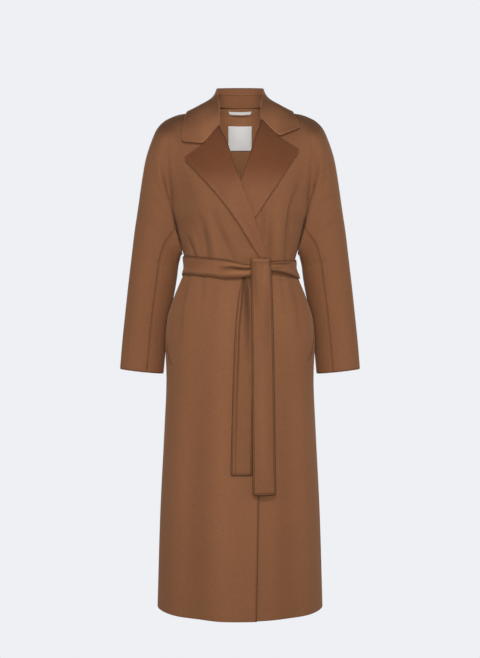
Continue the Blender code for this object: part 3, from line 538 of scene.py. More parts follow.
@cache
def sleeve_ring(along):
    """Middle, reach and across of a sleeve's ring, its half-depths and its freedoms."""
    over_x, over_z, under_x, under_z, mid, front, back = read(SLEEVE, along)
    middle = Vector(((over_x + under_x) / 2, mid, (over_z + under_z) / 2))
    reach = Vector(((over_x - under_x) / 2, 0, (over_z - under_z) / 2))
    across = Vector((reach.z, 0, -reach.x)).normalized()
    free = ease(along / FREE_OF_ARMHOLE)
    deep_free = sin(min(1.0, along / DEEP_OF_ARMHOLE) * pi / 2)
    return middle, reach, across, front, back, free, deep_free


@cache
def from_first_ring(armhole_part, behind):
    """Where a point of the armhole lies, seen from the sleeve's first ring."""
    middle, reach, across = sleeve_ring(0.0)[:3]
    offset = form(*armhole(armhole_part, behind)) - middle
    return offset.dot(reach) / reach.length_squared, offset.y, offset.dot(across)


def sleeve_point(along, round_part, armhole_part, behind):
    """A point of a sleeve on the side of positive x.

    round_part runs from 0 at the over-arm seam to 1 at the under-arm, and
    armhole_part says which point of the armhole the column starts from.
    """
    middle, reach, across, front, back, free, deep_free = sleeve_ring(along)
    first_high, first_deep, first_proud = from_first_ring(armhole_part, behind)
    angle = round_part * pi
    depth = back if behind else -front
    high = mix(first_high, cos(angle), free)
    square = mix(SQUARE_UNDER, 1.0, ease((along - SQUARE_FROM) / (SQUARE_TO - SQUARE_FROM)))
    round_off = max(0.0, sin(angle)) ** (square if round_part > 0.5 else 1.0)
    deep = mix(first_deep, depth * round_off, deep_free)
    point = middle + reach * high + Vector((0, deep, 0)) + across * first_proud * (1 - free)
    away = (point - middle).normalized()
    point += away * folds_on_sleeve(along, round_part, behind)
    point.y += armhole_fill(point.x, point.z) * (1 if behind else -1)
    leans = bell(along - LEAN_ALONG[0], LEAN_ALONG[1]) * ease(along / LEAN_SOFT)
    point.x -= ARM_LEAN * leans * bell(round_part - LEAN_ROUND[0], LEAN_ROUND[1])
    return point


def on_sleeve(side, along, round_part, armhole_part, behind):
    """A point of either sleeve, and the painted shade on it there."""
    point = sleeve_point(along, round_part, armhole_part, behind)
    return outward(side, point), painted_shade_on_sleeve(along, round_part)


def upper_sleeve(side, behind, across, down):
    """Where the front or back half of the upper sleeve lies, from seam to seam."""
    along = spread(SLEEVE_STOPS, down)
    part = across if behind else 1 - across
    armhole_part = round(part * UPPER_ROWS) / ARM_ROWS
    return on_sleeve(side, along, part * sleeve_seam(along), armhole_part, behind)


def under_sleeve(side, across, down):
    """Where an under-sleeve panel lies, from its front seam round to its back."""
    along = spread(SLEEVE_STOPS, down)
    part = 1 - abs(2 * across - 1)
    armhole_part = round(mix(UPPER_ROWS / ARM_ROWS, 1.0, part), 6)
    return on_sleeve(side, along, mix(sleeve_seam(along), 1.0, part), armhole_part, across > 0.5)


def row_at(up):
    """Level of a body row below the armpit, and the part of the way above it."""
    below = count(STOPS)
    row = round(up * (below + ARM_ROWS), 4)
    if row >= below:
        return ARMPIT, (row - below) / ARM_ROWS
    return spread(STOPS, row / below), 0.0


@cache
def inner_end(side, level, part):
    """turn and level on the front edge, roll line or neckline of a front."""
    gorge = FRONT_EDGE[side][-1]
    gorge_part = GORGE_ROW / ARM_ROWS
    if part <= gorge_part:
        z = mix(level, gorge.z, part / gorge_part)
        return place((front_edge(side, z) + ROLL_SET) * side, z)
    start = place((gorge.x + ROLL_SET) * side, gorge.z)
    share = (part - gorge_part) / (1 - gorge_part)
    return mix(start[0], turn_at(NECK_POINT, TOP_SIDE) * side, share), mix(start[1], TOP, share)


def front_panel(side, across, up):
    """Where the body part of a front lies, and its painted shade: across 0 at the side, 1 at the
    edge.
    """
    level, part = row_at(up)
    outer = (1.0, level) if part == 0 else armhole(1 - part, False)
    inner = inner_end(side, level, part)
    turn = mix(outer[0] * side, inner[0], across)
    height = mix(outer[1], inner[1], across)
    point = form(turn, height)
    folds = folds_on_front(point.x, point.z)
    pocket = folds_in(POCKETS[side], abs(turn) * QUARTER, point.z)
    lift = lift_on(side, point.x, point.z) + folds + pocket + bulge_at_side(turn, height)
    fill = armhole_fill(point.x, point.z)
    point += outwards(turn, height) * lift - Vector((0, fill, 0))
    # painted shadow along the front's edge below the armpit; painted shade in fold troughs and at
    # the pocket's end, painted light on fold ridges
    edge = FRONT_EDGE_SHADE * at_end(across, FRONT_EDGE_SHARE) if part == 0 else 0.0
    return point, edge - folds * FOLD_SHADE - pocket * POCKET_SHADE


def roll_height(side, up):
    """Height on the roll line, from the knot to the gorge, row by row."""
    row = round(up * (KNOT_ROWS + GORGE_ROW), 4)
    if row <= KNOT_ROWS:
        return mix(KNOT, ARMPIT, row / KNOT_ROWS)
    return mix(ARMPIT, FRONT_EDGE[side][-1].z, (row - KNOT_ROWS) / GORGE_ROW)


def lapel_across(side, part, up, out):
    """A point on a lapel: part 0 beside the fold and 1 on the outer edge."""
    gorge, tip, notch = FRONT_EDGE[side][-1], LAPEL_EDGE[side][-1], NOTCH[side]
    roll_z = roll_height(side, up)
    roll_x = front_edge(side, roll_z) + ROLL_SET
    edge_x, edge_z = read(LAPEL_EDGE[side], up)
    bend = (1 - abs(2 * part - 1)) * up ** GORGE_BEND
    x = mix(roll_x, edge_x, part) + bend * (notch[0] - mix(gorge.x + ROLL_SET, tip.x, 0.5))
    z = mix(roll_z, edge_z, part) + bend * (notch[1] - mix(gorge.z, tip.z, 0.5))
    lift = ROLL_LIFT * ease((roll_z - ROLL_FROM) / (ROLL_FULL - ROLL_FROM))
    spring = EDGE_SPRING * ease((part - SPRING_FROM) / (1 - SPRING_FROM)) * ease(up / SPRING_UP)
    return on_front(side, x, z, CLEAR + lift * (1 - part) ** 2 + spring + out)


def lapel(side, across, up):
    """Where a lapel lies: across 0 at its fold, up 0 at the knot."""
    fold_share = FOLD_COLUMNS / LAPEL_COLUMNS
    if across > fold_share:
        # painted highlight along the lapel's outer edge
        edge = EDGE_SHADE * at_end(across, EDGE_SHARE)
        return lapel_across(side, (across - fold_share) / (1 - fold_share), up, 0.0), edge
    panel = lapel_across(side, 0.0, up, 0.0)
    roll_z = roll_height(side, up)
    start = on_front(side, front_edge(side, roll_z) + ROLL_SET, roll_z, 0.0)
    angle = across / fold_share * pi
    nose = Vector((-side, 0, 0)) * (panel - start).length / 2 * sin(angle)
    return start.lerp(panel, (1 - cos(angle)) / 2) + nose


@cache
def back_top(across):
    """Distance from centre back and level along neckline and shoulder."""
    neck_turn = turn_at(NECK_POINT, TOP_SIDE)
    neck_column = NECK_COLUMNS / (NECK_COLUMNS + FRONT_COLUMNS)
    if across >= neck_column:
        share = (across - neck_column) / (1 - neck_column)
        return mix(neck_turn, 2 - armhole(0, True)[0], share), TOP
    turn = neck_turn * across / neck_column
    x = TOP_SIDE * sin(turn * pi / 2)
    z = mix(BACK_NECK, SHOULDER[2].z, (x / NECK_POINT) ** 2)
    return turn, min(TOP, place(x, z, True)[1])


def back_half(side, across, up):
    """Where the body part of the back lies: across 0 at centre back, 1 at the side."""
    level, part = row_at(up)
    outer = (1.0, level) if part == 0 else armhole(1 - part, True)
    top_turn, top_level = back_top(across)
    straight_turn = mix(0.0, back_top(1.0)[0], across)
    turn = mix(2.0, outer[0], across) - (top_turn - straight_turn) * ease(part)
    centre_level = mix(ARMPIT, back_top(0.0)[1], part) if part > 0 else level
    height = mix(centre_level, outer[1], across)
    if part > 0:
        straight_top = mix(back_top(0.0)[1], TOP, across)
        height += (top_level - straight_top) * part ** 3
    point = form(turn, height)
    if up < 1:
        x, z = point.x * side, point.z
        lift = folds_in(BACK_FOLDS, x, z) * fade_at_side(x, z) + bulge_at_side(turn, height)
        fill = armhole_fill(point.x, point.z)
        point += outwards(turn, height) * lift + Vector((0, fill, 0))
    return outward(side, point)


# ---------------------------------------------------------------- collar
# The stations round the neck. seam lies on the neck seam, stand on the seam
# between stand and fall, roll on the fold and mid on the fall. The edge is given
# by x and z and lies on the body, in front of or behind the shoulder line. x
# counts outwards.
COLLAR = table("seam stand roll mid edge_x edge_z behind", [
    ((0.0, 0.0744, 0.014), (0.0, 0.075, 0.047), (0.0, 0.083, 0.068), (0.0, 0.0945, 0.025),
     0.0, -0.03, True),
    ((0.04, 0.064, 0.0135), (0.038, 0.0665, 0.046), (0.042, 0.074, 0.0656),
     (0.056, 0.083, 0.027), 0.066, -0.024, True),
    ((0.061, 0.04, 0.013), (0.054, 0.04, 0.04), (0.0565, 0.041, 0.0578), (0.074, 0.05, 0.0225),
     0.104, -0.016, True),
    ((0.066, 0.004, 0.014), (0.053, 0.002, 0.029), (0.0565, 0.0, 0.045), (0.077, 0.006, 0.0195),
     0.122, -0.01, False),
    ((0.057, -0.043, -0.005), (0.0475, -0.045, 0.0), (0.051, -0.056, 0.007),
     (0.084, -0.044, 0.0035), 0.1275, -0.022, False),
])
# The leaf: its roll, and x and z of the fall's middle and edge. The section
# after it is the gorge line, which follows the lapel up to the notch.
LEAF_COLUMNS = "roll mid edge tip"
LEAF = {
    RIGHT: table(LEAF_COLUMNS, [
        ((0.049, -0.087, -0.029), (0.088, -0.046), (0.13, -0.055), (0.134, -0.0896))])[0],
    LEFT: table(LEAF_COLUMNS, [
        ((0.0495, -0.081, -0.021), (0.09, -0.032), (0.132, -0.036), (0.1377, -0.056))])[0],
}
LEAF_OUT, SHOULDER_OUT = 0.0068, 0.0035   # the outer face's distance off chest and shoulder
GORGE_GAP = Vector((0.001, 0, 0.0013))    # from the lapel's top to the fall's end
TUCK = Vector((-0.003, 0.006, -0.001))    # the fall's inner edge beside the leaf
INNER_ROWS, FALL_ROWS, STAND_ROWS = 5, 17, 7
INNER_SHARE = INNER_ROWS / (INNER_ROWS + FALL_ROWS)
COLLAR_COLUMNS, STAND_COLUMNS = 108, 72
END_SHARPER = 4       # the edge's painted highlight is this much narrower along a leaf's end
LIGHT_FADE = 1.5      # how fast the roll's painted light fades down the fall
# How round the leaf's tip is, as shares round the neck and down the fall.
LEAF_ROUND = {RIGHT: (0.022, 0.08), LEFT: (0.012, 0.034)}


@cache
def fall_points(side, number):
    """The inner edge, roll, mid and outer edge of one station, x outwards."""
    if number < len(COLLAR):
        row = COLLAR[number]
        edge = off_form(*place(row.edge_x, row.edge_z, row.behind), SHOULDER_OUT)
        return [Vector(row.stand), Vector(row.roll), Vector(row.mid), edge]
    leaf = LEAF[side]
    mid, edge = (outward(side, on_front(side, *place_xz, LEAF_OUT))
                 for place_xz in (leaf.mid, leaf.edge))
    return [Vector(leaf.roll) + TUCK, Vector(leaf.roll), mid, edge]


@cache
def fall_section(side, number, part):
    """From the inner edge over the roll and down the fall to its edge."""
    share = (part - INNER_SHARE) / (1 - INNER_SHARE)
    if number > len(COLLAR):
        return gorge_section(side, share, part / INNER_SHARE)
    inner, roll, mid, edge = fall_points(side, number)
    if share <= 0:
        return inner.lerp(roll, part / INNER_SHARE)
    pull = mid * 2 - (roll + edge) / 2
    return roll * (1 - share) ** 2 + pull * (2 * share * (1 - share)) + edge * share ** 2


def gorge_section(side, share, inner_part):
    """The fall's end: along the top of the lapel, then out to the leaf's tip."""
    if share > 0.5:
        x, z = (mix(start, end, 2 * share - 1)
                for start, end in zip(NOTCH[side], LEAF[side].tip))
        return outward(side, on_front(side, x, z, LEAF_OUT))
    along = outward(side, lapel_across(side, max(0.0, share), 1.0, CLOTH)) + GORGE_GAP
    along.x -= ROLL_SET * (1 - 2 * max(0.0, share))
    return (along + TUCK).lerp(along, inner_part) if share <= 0 else along


def rounded_tip(side, end, down):
    """Draw the corner of a leaf's tip round: end is how far round the neck it still is."""
    reach, drop = LEAF_ROUND[side]
    along, across = 1 - end / reach, 1 - (1 - down) / drop
    if along <= 0 or across <= 0:
        return end, down
    pull = max(along, across) / hypot(along, across)
    return reach * (1 - along * pull), 1 - drop * (1 - across * pull)


def past_centre(rows):
    """Rows round the neck, with two mirrored ones so that they cross centre back level."""
    return [(-row[0], -row[1], *row[2:]) for row in (rows[2], rows[1])] + rows


def fall_point(around, down):
    """A point of the fall, round the neck from the right leaf to the left."""
    last = len(COLLAR) + 1
    side = RIGHT if around < 0.5 else LEFT
    end, down = rounded_tip(side, min(around, 1 - around), down)
    around, down = (end if side == RIGHT else 1 - end), round(down, 6)
    rows = [(float(number), *fall_section(side, number, down)) for number in range(last + 1)]
    beyond = [2 * a - b for a, b in zip(rows[-1], rows[-2])]
    return outward(side, read(past_centre(rows) + [beyond], abs(2 * around - 1) * last))


def fall_cloth(around, down):
    """A point of the fall, and its painted light there, along its edges and over the roll."""
    # painted highlight along the edges, painted light over the roll
    end = min(around, 1 - around) / EDGE_SHARE * END_SHARPER
    edge = max(ease(1 - end), at_end(down, EDGE_SHARE))
    fallen = (down - INNER_SHARE) / (1 - INNER_SHARE)
    light = NECK_LIGHT * ease(LIGHT_FADE - LIGHT_FADE * fallen)
    return fall_point(around, down), light + edge * EDGE_SHADE


def stand_point(around, up):
    """A point of the stand, from the neck seam up to the fall's inner edge."""
    last = len(COLLAR) - 1
    side = RIGHT if around < 0.5 else LEFT
    rows = [(float(number), *row.seam) for number, row in enumerate(COLLAR)]
    seam = outward(side, read(past_centre(rows), abs(2 * around - 1) * last))
    in_fall = 0.5 + (around - 0.5) * last / (len(COLLAR) + 1)
    return seam.lerp(fall_point(in_fall, 0.0), up)


# ---------------------------------------------------------------- belt
# The band's edges from the knot round: how far it has gone, as turn.
BAND = table("turn top bottom", [
    (-4.0, -0.352, -0.402), (-1.3, -0.352, -0.402), (-0.9, -0.351, -0.396),
    (-0.36, -0.358, -0.405), (-0.12, -0.364, -0.4125), (0.1, -0.379, -0.409),
    (0.22, -0.375, -0.402), (0.37, -0.367, -0.396), (0.6, -0.364, -0.401), (0.9, -0.3615, -0.407),
    (1.3, -0.354, -0.403), (4.0, -0.352, -0.402),
])
# The tails hang from the knot: one row for each height, with the edges and how
# far their outer face stands off the top front.
TAIL = "z left right out"
TAIL_FRONT = table(TAIL, [
    (-0.898, 0.0285, 0.0815, 0.0105), (-0.7, 0.027, 0.079, 0.0105), (-0.52, 0.0258, 0.076, 0.011),
    (-0.43, 0.025, 0.074, 0.014), (-0.395, 0.0245, 0.073, 0.0165),
    (-0.366, 0.024, 0.0722, 0.0165),
])
TAIL_REAR = table(TAIL, [
    (-0.853, -0.0215, 0.0277, 0.0052), (-0.7, -0.0178, 0.031, 0.0052),
    (-0.526, -0.011, 0.0375, 0.0052), (-0.456, -0.004, 0.033, 0.0056),
    (-0.408, 0.0045, 0.0205, 0.005), (-0.385, 0.006, 0.0195, 0.0046),
])
BELT_OUT = 2 * CLEAR + BELT_CLOTH
BAND_COLUMNS = 240
BAND_START = 0.15     # turn where the band's ends meet, behind the front tail
BAND_ROUND = 0.0005   # how far the band's middle stands out from its edges
TAIL_MIDDLE, TAIL_REACH = 0.04, 0.09      # the band rises over the tails about this x
RISE_WIDTH = 0.035                        # in this width
STEP_START, STEP_WIDTH = 0.006, 0.05      # and sinks back beside the top front's edge
FRONT_SHARE, TURN_SHARE = 0.8, 0.9        # of the front tail: outer face, then the turn
FRONT_TAIL_ROWS = 165
CREST_LIGHT = 0.0002  # painted light on the turn, against the painted shade where the cloth faces up
TAIL_CORNER = 0.0045  # radius of a tail's corners
TAIL_CREST = 0.0065   # height of the turn over the band's top edge
BEHIND_OUT, BEHIND_END = 0.0016, -0.392   # the part tucked behind the band

# Across the belt, from edge to edge: share of the width, rows up to it, and how
# far the face is pressed in there, which also sets its painted shade. The line beside
# each edge is its stitching; the darkened very edges are painted shadow.
PRESSED, DEPTH = "level rows depth", 2    # and the number of the depth's column
ACROSS_BELT = table(PRESSED, [
    (0.0, 0, 0.0017), (0.022, 1, 0.0011), (0.05, 1, 0.0001), (0.078, 1, 0.0012), (0.104, 1),
    (0.18, 2, -0.0003), (0.82, 24, -0.0003), (0.896, 2), (0.922, 1, 0.0012), (0.95, 1, 0.0001),
    (0.978, 1, 0.0011), (1.0, 1, 0.0017),
])
# Up a tail, from its end: the same, as shares of its length.
UP_TAIL = table(PRESSED, [
    (0.0, 0, 0.0017), (0.0025, 1, 0.001), (0.006, 1, 0.0001), (0.008, 1, 0.0012), (0.01, 1),
    (0.02, 1), (1.0, 130),
])

# Creases of the band as turn and share of its height, and of the tails as share
# across and height z. A width on the band is in turns, on a tail in metres.
BAND_CHART = 0.22     # a turn on the band's creases is this share of its height
BAND_CREASES = [fold._replace(path=[(at, high * BAND_CHART) for at, high in fold.path])
                for fold in table(FOLD, [
    ([(-0.24, 0.43), (-0.1, 0.48), (0.02, 0.53), (0.16, 0.58)], 0.017, -0.0064),
    ([(-0.3, 0.66), (-0.1, 0.68), (0.14, 0.78)], 0.034, 0.0012),
    ([(-0.2, 0.18), (-0.02, 0.24), (0.15, 0.32)], 0.024, 0.0023),
    ([(0.7, 0.8), (0.5, 0.76), (0.34, 0.7)], 0.018, -0.0026),
    ([(0.74, 0.93), (0.34, 0.9)], 0.022, 0.0018), ([(0.54, 0.34), (0.34, 0.22)], 0.024, -0.0018),
    ([(-0.8, 0.4), (-0.52, 0.52)], 0.07, -0.001), ([(0.62, 0.5), (0.84, 0.44)], 0.06, -0.0012),
    ([(1.5, 0.62), (1.8, 0.5)], 0.06, -0.0012), ([(-1.9, 0.4), (-1.6, 0.52)], 0.06, -0.0012),
])]
FRONT_TAIL_CREASES = table(FOLD, [
    ([(0.04, -0.49), (0.035, -0.42), (0.033, -0.372)], 0.006, -0.0018, 0.3),
    ([(0.056, -0.45), (0.06, -0.38)], 0.008, 0.0014),
    ([(0.066, -0.43), (0.063, -0.56)], 0.008, -0.001),
    ([(0.048, -0.56), (0.054, -0.84)], 0.012, 0.001),
])
REAR_TAIL_CREASES = table(FOLD, [
    # the folded-in edge beside its left edge, and the hollow under the knot
    ([(-0.0118, -0.93), (-0.0082, -0.7), (-0.0018, -0.526), (0.0046, -0.456), (0.0105, -0.4)],
     0.0018, -0.0036),
    ([(-0.017, -0.93), (-0.0135, -0.7), (-0.007, -0.526), (-0.0002, -0.456), (0.0065, -0.4)],
     0.0045, 0.001),
    ([(0.02, -0.6), (0.0185, -0.5), (0.016, -0.44), (0.013, -0.4)], 0.0072, -0.0046, 0.3),
])


def over_fronts(x, z):
    """How far the fronts' layers hold up what goes round them."""
    edge = -front_edge(RIGHT, z)
    if x <= edge:
        return top_front_lift(x, z)
    return top_front_lift(edge, z) * ease(1 - (x - edge - STEP_START) / STEP_WIDTH)


def belt_band(around, up):
    """Where the stretch round the waist lies, once round from the knot."""
    turn = BAND_START + around * 4
    across = turn if turn <= 2 else turn - 4
    top, bottom = read(BAND, across)
    share = spread(ACROSS_BELT, up)
    z = mix(bottom, top, share)
    point = form(across, z)
    groove = spread(ACROSS_BELT, up, DEPTH)
    creases = folds_in(BAND_CREASES, across, share * BAND_CHART)
    out = BELT_OUT + BAND_ROUND * sin(share * pi) - groove + creases
    if abs(across) < 1:
        over_tail = ease((TAIL_REACH - abs(point.x - TAIL_MIDDLE)) / RISE_WIDTH)
        out += over_fronts(point.x, z) + over_tail * (BELT_CLOTH + 2 * CLEAR)
    # painted shade in the stitching, along the edges and in the creases; painted light on the
    # ridges
    shade = groove * GROOVE_SHADE - creases * CREASE_SHADE
    return point + outwards(across, z) * out, shade


def on_top_front(x, z, out):
    """The point at x that stands out from the top front and the band's support."""
    out += over_fronts(x, z) + (folds_on_front(x, z) if z < TAIL_FREE else 0.0)
    foot = x - outwards(*place(x, z)).x * out
    return off_form(*place(foot, z), out)


def corner_inset(height):
    """How far a tail's edges are drawn in at a height above its end, to round its corners."""
    below = max(0.0, TAIL_CORNER - height)
    return TAIL_CORNER - sqrt(TAIL_CORNER ** 2 - below ** 2)


def hanging_tail(rows, creases, across, up):
    """Where a tail lies: across its width and up from its end."""
    z = mix(rows[0].z, rows[-1].z, spread(UP_TAIL, up))
    left, right, out = read(rows, z)
    drawn_in = corner_inset(z - rows[0].z)
    x = mix(left + drawn_in, right - drawn_in, spread(ACROSS_BELT, across))
    groove = max(spread(ACROSS_BELT, across, DEPTH), spread(UP_TAIL, up, DEPTH))
    crease = -folds_in(creases, x, z)
    # painted shade in the stitching, along the edges and in the creases; painted light on the
    # ridges
    shade = groove * GROOVE_SHADE + crease * CREASE_SHADE
    return on_top_front(x, z, out - groove - crease), shade


def tail_over_band(across, up):
    """The front tail: up its outer face, over the band and down behind it."""
    if up <= FRONT_SHARE:
        return hanging_tail(TAIL_FRONT, FRONT_TAIL_CREASES, across, up / FRONT_SHARE)
    last = TAIL_FRONT[-1]
    x = mix(last.left, last.right, spread(ACROSS_BELT, across))
    if up > TURN_SHARE:
        z = mix(last.z, BEHIND_END, (up - TURN_SHARE) / (1 - TURN_SHARE))
        return on_top_front(x, z, BEHIND_OUT)
    pressed_and_painted_shade = spread(ACROSS_BELT, across, DEPTH)
    angle = (up - FRONT_SHARE) / (TURN_SHARE - FRONT_SHARE) * pi
    out = mix(last.out, BEHIND_OUT, (1 - cos(angle)) / 2) - pressed_and_painted_shade * cos(angle)
    high = (TAIL_CREST - pressed_and_painted_shade) * sin(angle)
    # painted shade in the stitching and along the edges, painted light on the turn
    shade = pressed_and_painted_shade * GROOVE_SHADE - CREST_LIGHT * sin(angle) ** 0.5
    return on_top_front(x, last.z + high, out), shade


# ---------------------------------------------------------------- label and loop
LABEL_HALF, LABEL_TOP, LABEL_BOTTOM = 0.0292, -0.0262, -0.085
LOOP_HALF, LOOP_TOP, LOOP_DEPTH = 0.029, 0.008, 0.0072
LOOP_BOTTOM_SHARE = 0.9   # of its top width: the loop's ends are slanted
TRIM_OUT = 0.0014         # from the back's inner face to the trim's outer face
LOOP_STANDS = 0.0022      # how far the loop's middle stands off beyond its ends
LABEL_STEPS, LOOP_COLUMNS, LOOP_ROWS = 32, 30, 6
CENTRE = 0.000001         # x that still has a side


def inside_back(x, z, inwards):
    """A point that lies inside the back, clear of its inner face."""
    return off_form(*place(x if abs(x) > CENTRE else CENTRE, z, True), -(CLOTH + inwards))


def label(across, up):
    """The bare label on the inside of the back."""
    x = mix(LABEL_HALF, -LABEL_HALF, across)
    return inside_back(x, mix(LABEL_BOTTOM, LABEL_TOP, up), TRIM_OUT)


def hanger_loop(across, up):
    """A flat ribbon that stands off the neck seam between its slanted ends."""
    x = mix(LOOP_HALF, -LOOP_HALF, across) * mix(LOOP_BOTTOM_SHARE, 1.0, up)
    stand_off = TRIM_OUT + LOOP_STANDS * sin(across * pi)
    return inside_back(x, mix(LOOP_TOP - LOOP_DEPTH, LOOP_TOP, up), stand_off)


# ---------------------------------------------------------------- materials
BODY_WOOL, LAPEL_WOOL = (0.206, 0.087, 0.04), (0.2, 0.083, 0.039)
COLLAR_WOOL, BELT_WOOL = (0.22, 0.092, 0.043), (0.182, 0.077, 0.035)
# the inner faces are coloured lighter than the outer ones, as painted light where little light
# reaches
INSIDE_WOOL_PAINTED_LIGHT, COLLAR_INSIDE_PAINTED_LIGHT = (0.34, 0.15, 0.07), (0.74, 0.365, 0.2)
NAP_AND_SHADE_WOOL = (0.136, 0.048, 0.02)       # high on a turned lapel: its turned nap's tone, and painted shade
NAP_AND_SHADE_FROM, NAP_AND_SHADE_REACH = -0.222, 0.085   # height where that starts to show, and its fade
LABEL_WHITE, LABEL_SHADE = (0.9, 0.89, 0.88), (0.81, 0.8, 0.79)
SATIN, SATIN_SHADE = (0.93, 0.92, 0.9), (0.84, 0.83, 0.81)
SHEEN, SHEEN_TINT = 0.18, (0.9, 0.56, 0.35)
FIBRE_STRETCH = (1.0, 1.0, 0.3)       # the nap is combed down the cloth
# The wool's noises: scale, detail, roughness, and how strongly each shades it.
MOTTLE, CLUMPS, FIBRES = (9.0, 4.0, 0.55, 0.12), (150.0, 3.0, 0.55, 0.2), (900.0, 2.0, 0.7, 0.42)
CLUMPS_HIGH, FIBRES_HIGH, WOOL_BUMP = 0.6, 0.4, 0.0009   # and their share in its relief
ROUGH_BASE, ROUGH_CLUMPS = 8.0, 0.1   # roughness is (clumps + base) times this
# Painted shade: the colour is made darker where the cloth faces up, and only above the waist.
SLOPE_FROM, SLOPE_FULL, SLOPE_SHADE = 0.08, 0.76, 0.39
SLOPE_LOW, SLOPE_HIGH = -0.4, -0.22
PAINTED_SHADE_FULL, PAINTED_SHADE_FACTOR = 0.0034, 0.42   # painted shade where the cloth is pressed in: the value for its fullest, and the factor there
LABEL_THREADS, SATIN_FLOATS = 40.0, 26.0
NODE_STEP = 200           # nodes stand in a row, in the order they are made


def feed(fed, inputs):
    """Set inputs of a node, each to a value or to the socket that feeds it."""
    for name, value in inputs.items():
        if isinstance(value, bpy.types.NodeSocket):
            fed.id_data.links.new(value, fed.inputs[name])
        else:
            fed.inputs[name].default_value = value


def add_node(tree, kind, inputs, **settings):
    """A new shader node with its settings and inputs."""
    made = tree.nodes.new("ShaderNode" + kind)
    made.location = (NODE_STEP * len(tree.nodes), 0)
    for name, value in settings.items():
        setattr(made, name, value)
    feed(made, inputs)
    return made


def node(tree, kind, inputs, socket=0, **settings):
    """One output of a new shader node."""
    return add_node(tree, kind, inputs, **settings).outputs[socket]


def reckon(tree, operation, *values):
    """The result of one operation on values or sockets."""
    return node(tree, "Math", dict(enumerate(values)), operation=operation)


def weighted(tree, value, middle, weight):
    """(value - middle) * weight."""
    return reckon(tree, "MULTIPLY_ADD", value, weight, -middle * weight)


def wool_look_and_painted_shade():
    """The look that all the wool shares: mottle, felted clumps and combed fibres, and the painted
    shade and light that it is given.
    """
    tree = bpy.data.node_groups.new("brushed wool", "ShaderNodeTree")
    for name, way, kind in (("Colour", "INPUT", "Color"), ("Colour", "OUTPUT", "Color"),
                            ("Height", "OUTPUT", "Float"), ("Roughness", "OUTPUT", "Float")):
        tree.interface.new_socket(name, in_out=way, socket_type="NodeSocket" + kind)
    given = tree.nodes.new("NodeGroupInput").outputs["Colour"]
    where = node(tree, "TexCoord", {}, "Object")
    combed = node(tree, "Mapping", {"Vector": where, "Scale": FIBRE_STRETCH})
    mottle, clumps, fibres = (
        node(tree, "TexNoise", {"Vector": at, "Scale": noise[0], "Detail": noise[1],
                                "Roughness": noise[2]}, "Fac")
        for at, noise in ((where, MOTTLE), (where, CLUMPS), (combed, FIBRES)))
    shade = reckon(tree, "ADD", weighted(tree, mottle, 0.5, MOTTLE[3]),
                   weighted(tree, clumps, 0.5, CLUMPS[3]))
    shade = reckon(tree, "ADD", shade, weighted(tree, fibres, 0.5, FIBRES[3]))
    # painted shade where the cloth faces up, above the waist
    facing = node(tree, "TexCoord", {}, "Normal")
    upper = node(tree, "MapRange", {"Value": node(tree, "SeparateXYZ", {0: where}, "Z"),
                                    "From Min": SLOPE_LOW, "From Max": SLOPE_HIGH}, "Result")
    up = reckon(tree, "MULTIPLY", node(tree, "SeparateXYZ", {0: facing}, "Z"), upper)
    up = node(tree, "MapRange", {"Value": up, "From Min": SLOPE_FROM, "From Max": SLOPE_FULL,
                                 "To Min": 1.0, "To Max": SLOPE_SHADE}, "Result",
              interpolation_type="SMOOTHSTEP")
    # painted shade, and below 0 painted light, from the attribute that each grid carries
    pressed_and_painted_shade = node(tree, "Attribute", {}, "Fac", attribute_name="pressed_and_painted_shade")
    painted_shade_scale = node(tree, "MapRange", {"Value": pressed_and_painted_shade, "From Min": 0.0, "From Max": PAINTED_SHADE_FULL,
                                   "To Min": 1.0, "To Max": PAINTED_SHADE_FACTOR}, "Result",
                clamp=False)
    # the colour is scaled by both painted shades, and by the noises' random tone
    tone = given
    for strength in (reckon(tree, "MULTIPLY", up, painted_shade_scale), reckon(tree, "ADD", shade, 1.0)):
        tone = node(tree, "VectorMath", {0: tone, "Scale": strength}, operation="SCALE")
    height = reckon(tree, "ADD", weighted(tree, clumps, 0.0, CLUMPS_HIGH),
                    weighted(tree, fibres, 0.0, FIBRES_HIGH))
    rough = weighted(tree, clumps, -ROUGH_BASE, ROUGH_CLUMPS)
    feed(tree.nodes.new("NodeGroupOutput"),
         {"Colour": tone, "Height": height, "Roughness": rough})
    return tree


def new_finish(name, values):
    """A new material, its node tree, and its shader with these constant values."""
    finish = bpy.data.materials.new(name)
    finish.use_nodes = True
    shader = finish.node_tree.nodes["Principled BSDF"]
    feed(shader, values)
    return finish, finish.node_tree, shader


def bumped(tree, height, strength, distance):
    """The normal that a relief gives."""
    return node(tree, "Bump", {"Strength": strength, "Distance": distance, "Height": height})


def two_tones(tree, part, dark, pale):
    """From a dark colour to a pale one."""
    return node(tree, "Mix", {0: part, 6: (*dark, 1.0), 7: (*pale, 1.0)}, 2, data_type="RGBA")


def wool(name, colour, group, nap_and_shade=()):
    """A wool finish, with its colours low and high on a turned lapel if given: the high one is
    darker for the turned nap and as painted shade.
    """
    finish, tree, shader = new_finish(name, {
        "Specular IOR Level": 0.12, "Sheen Weight": SHEEN, "Sheen Roughness": 0.45,
        "Sheen Tint": (*SHEEN_TINT, 1.0)})
    given = (*colour, 1.0)
    if nap_and_shade:
        turned = node(tree, "Attribute", {}, "Fac", attribute_name="turned")
        tones = add_node(tree, "ValToRGB", {0: turned})
        tones.color_ramp.elements.new(0.5)
        for element, tone in zip(tones.color_ramp.elements, (colour, *nap_and_shade)):
            element.color = (*tone, 1.0)
        given = tones.outputs[0]
    look = add_node(tree, "Group", {}, node_tree=group)
    feed(look, {"Colour": given})
    feed(shader, {"Base Color": look.outputs["Colour"], "Roughness": look.outputs["Roughness"],
                  "Normal": bumped(tree, look.outputs["Height"], 0.5, WOOL_BUMP)})
    return finish


